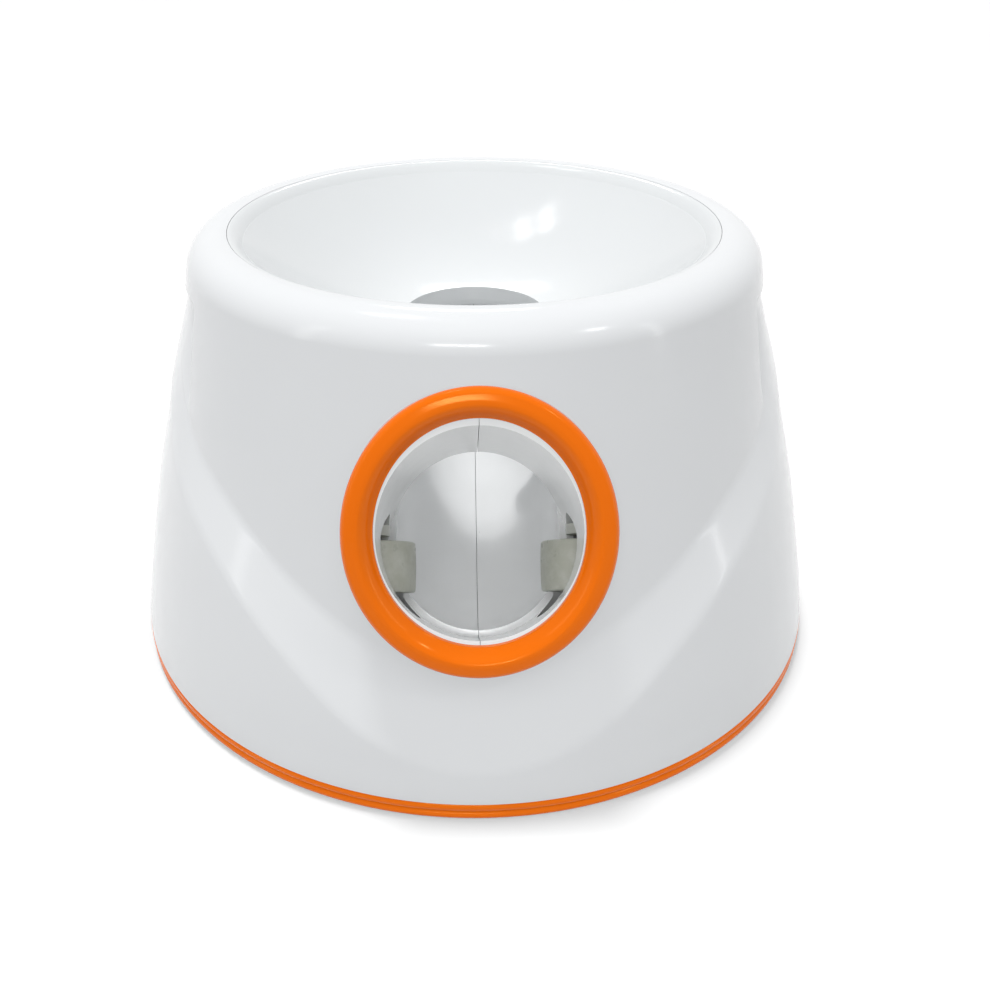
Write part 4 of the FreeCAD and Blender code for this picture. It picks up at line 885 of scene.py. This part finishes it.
@dataclass
class Panel:
    """The printed symbols on the control panel: plain marks for power, reach and the lights."""

    finishes: Finishes
    stroke: float = 0.8
    sunk: float = 0.12
    proud: float = 0.08
    power_radius: float = 3.2
    reach_pitch: float = 2.4
    light_pitch: float = 8.0

    def height_on(self, node: Piece, spot: Points) -> float:
        """Height of a node's outer face over a spot of the panel's plane, found by a ray."""
        start = PANEL @ Vector((spot[0], spot[1], 20.0)) * MM
        ahead = (PANEL.to_3x3() @ Vector((0.0, 0.0, -1.0))).normalized()
        hit, place, _, _ = node.ray_cast(start, ahead)
        return (PANEL.inverted() @ (place / MM)).z if hit else 0.0

    def mark(self, node: Piece, path: Points) -> Solid:
        """Lay a flat stroke along a path on a node's face.

        Args:
            node: the CAD node that carries the print.
            path: rows of right and up in millimetres, as seen from behind the launcher.

        Returns:
            The stroke's points and faces.
        """
        route = -path
        ahead = np.gradient(route, axis=0)
        side = np.stack([-ahead[:, 1], ahead[:, 0]], -1) / np.linalg.norm(ahead, axis=1, keepdims=True)
        columns = []
        for centre, across in zip(route, side * self.stroke / 2):
            (a, b), (p, q) = centre - across, centre + across
            near, far = (self.height_on(node, edge) for edge in ((a, b), (p, q)))
            columns.append([(a, b, near - self.sunk), (p, q, far - self.sunk),
                            (p, q, far + self.proud), (a, b, near + self.proud)])
        body = np.array(columns)
        ends = [body[i].mean(0) + 0.001 * (body[i] - body[i].mean(0)) for i in (0, -1)]
        grid = np.concatenate([ends[0][None], body, ends[1][None]])
        return to_frame(grid, PANEL).reshape(-1, 3), grid_faces(len(grid), 4, False, True)

    def build(self) -> None:
        """Print a power sign, three bars of growing height and three ticks beside the lights."""
        white, grey = self.finishes.print_white, self.finishes.print_grey
        power, reach, lights = (np.array([-self.middle(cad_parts[name])[0], 0.0])
                                for name in ("power_button", "distance_button", "status_lights"))
        ring = power + arc((0.0, 0.0), self.power_radius, 125.0, 415.0, 40)
        bar = power + line((0.0, 0.9), (0.0, 4.3), 6)
        self.print_on("power_symbol", "power_button", "power_switch", white, ring, bar)
        pitch, steps = self.reach_pitch, (-1, 0, 1)
        bars = [reach + line((pitch * step, -pitch), (pitch * step, pitch * (step + 1)), 6) for step in steps]
        self.print_on("reach_symbol", "distance_button", "distance_switch", white, *bars)
        pitch = self.light_pitch
        ticks = [lights + line((3.4, pitch * step), (5.7 + 1.1 * step, pitch * step), 5) for step in steps]
        self.print_on("light_marks", "control_panel", "housing", grey, *ticks)

    def middle(self, node: Piece) -> Points:
        """Middle of a node across the panel's plane."""
        flat = to_frame(np.array([tuple(vertex.co / MM) for vertex in node.data.vertices]), PANEL.inverted())
        return 0.5 * (flat.min(0) + flat.max(0))[:2]

    def print_on(self, name: str, node: str, body: str, ink: bpy.types.Material, *paths: Points) -> None:
        """Print strokes on a node as one piece that moves with its body."""
        piece = joined_piece(name, [self.mark(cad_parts[node], path) for path in paths])
        finish_piece(piece, body, SLOT_OF[node], ink)


class Dresser:
    """Gives every CAD node that stays its own finish."""

    def __init__(self, finishes: Finishes) -> None:
        """Say which finish each node takes.

        Args:
            finishes: the launcher's materials.
        """
        self.finish_of = {
            "base_pan": finishes.pan, "battery_door": finishes.pan, "battery_door_screw": finishes.screw,
            "battery_contacts": finishes.contact, "rubber_feet": finishes.feet,
            "chute_left": finishes.chute, "chute_right": finishes.chute, "muzzle_bezel": finishes.orange,
            "base_ring": finishes.orange, "outer_shell": finishes.shell, "funnel_bowl": finishes.funnel,
            "gate_solenoid_frame": finishes.steel, "gate_solenoid_coil": finishes.winding,
            "gate_pin": finishes.steel, "control_panel": finishes.panel, "status_lights": finishes.clear,
            "power_button": finishes.button_orange, "distance_button": finishes.button_grey,
            "main_board": finishes.board, "panel_board": finishes.board,
        }
        for name in ("ball_sensor_emitter", "ball_sensor_receiver", "board_parts", "buzzer", "panel_switches",
                     "dc_jack"):
            self.finish_of[name] = finishes.dark
        for side in ("left", "right"):
            self.finish_of.update({
                side + "_roller_tyre": finishes.tyre, side + "_roller_hub": finishes.hub,
                side + "_motor_rotor": finishes.armature, side + "_motor_can": finishes.steel,
                side + "_motor_magnets": finishes.ferrite, side + "_motor_bushings": finishes.bronze,
                side + "_motor_end_cap": finishes.dark,
            })
        for name in ("chute", "motor", "base", "funnel", "board", "mounting", "panel"):
            self.finish_of[name + "_screws"] = finishes.screw

    def dress(self) -> None:
        """Assign the finishes to the CAD nodes' material slots."""
        for name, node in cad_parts.items():
            node.data.materials.clear()
            node.data.materials.append(self.finish_of[name])


@dataclass
class Studio:
    """A pale floor, a white surround, soft lamps and the camera at the photograph's viewing angle."""

    camera_place: tuple[float, float, float] = (0.0, -0.380, 0.277267)
    camera_pitch: float = 0.553
    camera_roll: float = -0.003
    camera_turn: float = -0.0117
    focal_pixels: float = 993.872
    image_pixels: float = 990.0
    centre_column: float = 475.06
    sensor: float = 36.0
    surround_light: float = 0.47
    floor_reach: float = 3000.0
    throat: tuple[float, float, float] = (0.0, 0.0, 0.126)

    def camera(self) -> None:
        """Place the camera: focal length and shift come from the fitted pixels."""
        data = bpy.data.cameras.new("camera")
        data.sensor_width = self.sensor
        data.lens = self.sensor * self.focal_pixels / self.image_pixels
        data.shift_x = 0.5 - self.centre_column / self.image_pixels
        data.clip_start = 0.01
        camera = bpy.data.objects.new("camera", data)
        look = Matrix.Rotation(math.pi / 2 - self.camera_pitch, 4, "X")
        roll = Matrix.Rotation(self.camera_roll, 4, "Z")
        around = Matrix.Rotation(self.camera_turn, 4, "Z")
        camera.matrix_world = around @ Matrix.Translation(self.camera_place) @ look @ roll
        bpy.context.scene.collection.objects.link(camera)
        bpy.context.scene.camera = camera

    def place_lamp(self, data: bpy.types.Light, place: Sequence[float], target: Sequence[float],
                   mirrored: bool = True) -> None:
        """Stand a lamp at a place and turn it to a point; one that isn't mirrored shows in no reflection."""
        lamp = bpy.data.objects.new(data.name, data)
        lamp.visible_glossy = mirrored
        lamp.location = place
        lamp.rotation_euler = (Vector(target) - Vector(place)).to_track_quat("-Z", "Y").to_euler()
        bpy.context.scene.collection.objects.link(lamp)

    def throat_lamp(self, name: str, direction: Sequence[float], power: float) -> None:
        """Add a narrow lamp above the funnel that lights the chute through the throat."""
        data = bpy.data.lights.new(name, "SPOT")
        data.spot_size = math.radians(3.4)
        data.spot_blend = 0.35
        data.shadow_soft_size = 0.03
        data.energy = power
        self.place_lamp(data, Vector(self.throat) + 1.2 * Vector(direction).normalized(), self.throat, False)

    def softbox(self, name: str, place: Sequence[float], target: Sequence[float],
                size: tuple[float, float], power: float) -> None:
        """Add a soft rectangular lamp, which also shows as a window in reflections."""
        data = bpy.data.lights.new(name, "AREA")
        data.shape = "RECTANGLE"
        data.size, data.size_y = size
        data.energy = power
        self.place_lamp(data, place, target)

    def skylight(self, name: str, direction: Sequence[float], spread: float, strength: float) -> None:
        """Add an even light from one direction, softened over an angle in degrees."""
        data = bpy.data.lights.new(name, "SUN")
        data.angle = math.radians(spread)
        data.energy = strength
        self.place_lamp(data, direction, (0.0, 0.0, 0.0), False)

    def surround(self) -> None:
        """White to the camera, in reflections and through clear pieces, moderate as a light."""
        world = bpy.data.worlds.new("surround")
        world.use_nodes = True
        bpy.context.scene.world = world
        tree = world.node_tree
        background = tree.nodes["Background"]
        background.inputs["Color"].default_value = (1.0, 1.0, 1.0, 1.0)
        paths = tree.nodes.new("ShaderNodeLightPath")
        seen = paths.outputs["Is Camera Ray"]
        for ray in ("Is Glossy Ray", "Is Transmission Ray"):
            either = tree.nodes.new("ShaderNodeMath")
            either.operation = "MAXIMUM"
            tree.links.new(seen, either.inputs[0])
            tree.links.new(paths.outputs[ray], either.inputs[1])
            seen = either.outputs["Value"]
        level = tree.nodes.new("ShaderNodeMapRange")
        level.inputs["To Min"].default_value = self.surround_light
        level.inputs["To Max"].default_value = 1.0
        tree.links.new(seen, level.inputs["Value"])
        tree.links.new(level.outputs["Result"], background.inputs["Strength"])

    def floor(self) -> None:
        """A pale floor that keeps the object's shadow and throws no light back up."""
        ends = [-self.floor_reach, self.floor_reach]
        grid = np.stack(np.meshgrid(ends, ends, indexing="ij"), -1)
        grid = np.concatenate([grid, np.zeros((2, 2, 1))], -1)
        floor = grid_piece("floor", grid, False, False)
        shader = Shader("floor paper")
        shader.colour(shader.blend(shader.noise(3.0), (0.93, 0.93, 0.93), (0.95, 0.95, 0.95)))
        shader.set(Roughness=0.9, Specular_IOR_Level=0.1)
        floor.data.materials.append(shader.material)
        floor.visible_diffuse = False

    def lamps(self) -> None:
        """Light the pieces evenly from the sky, and hang windows for the reflections."""
        self.skylight("overhead light", (-0.12, 0.20, 1.0), 12.0, 1.15)
        self.skylight("front skylight", (0.05, -0.45, 1.0), 40.0, 0.6)
        self.skylight("left fill", (-0.8, -0.55, 0.6), 60.0, 0.35)
        self.skylight("low front fill", (0.1, -1.0, 0.3), 50.0, 0.25)
        self.throat_lamp("throat light", (-0.12, 0.20, 1.0), 14.0)
        middle, front, funnel = (0.0, 0.0, 0.12), (0.0, -0.1, 0.15), (0.03, 0.06, 0.15)
        self.softbox("left window", (-1.0, -0.5, 0.5), middle, (0.12, 0.8), 0.5)
        self.softbox("right window", (1.05, -0.45, 0.4), middle, (0.04, 0.7), 0.45)
        self.softbox("front window", (-0.1, -0.98, 0.70), front, (0.35, 0.05), 1.2)
        self.softbox("corner window", (0.62, -0.5, 0.84), front, (0.08, 0.08), 0.4)
        self.softbox("rear window", (-0.02, 0.85, 0.85), (0.0, -0.07, 0.04), (0.25, 0.1), 0.8)
        for across in (-0.06, 0.06):
            for along in (-0.05, 0.05):
                self.softbox("roof window", (-0.30 + across, 0.31 + along, 1.27), funnel, (0.09, 0.07), 0.12)

    def build(self) -> None:
        """Set the whole stage."""
        self.camera()
        self.surround()
        self.floor()
        self.lamps()
        bpy.context.scene.view_settings.view_transform = "Standard"


def main() -> None:
    """Build every assembly in order and note the sizes."""
    logging.basicConfig(level=logging.INFO)
    finishes = Finishes()
    Dresser(finishes).dress()
    for assembly in (Housing, Muzzle, Base, Rollers, Panel):
        assembly(finishes).build()
    Studio().build()


if __name__ == "__main__":
    main()
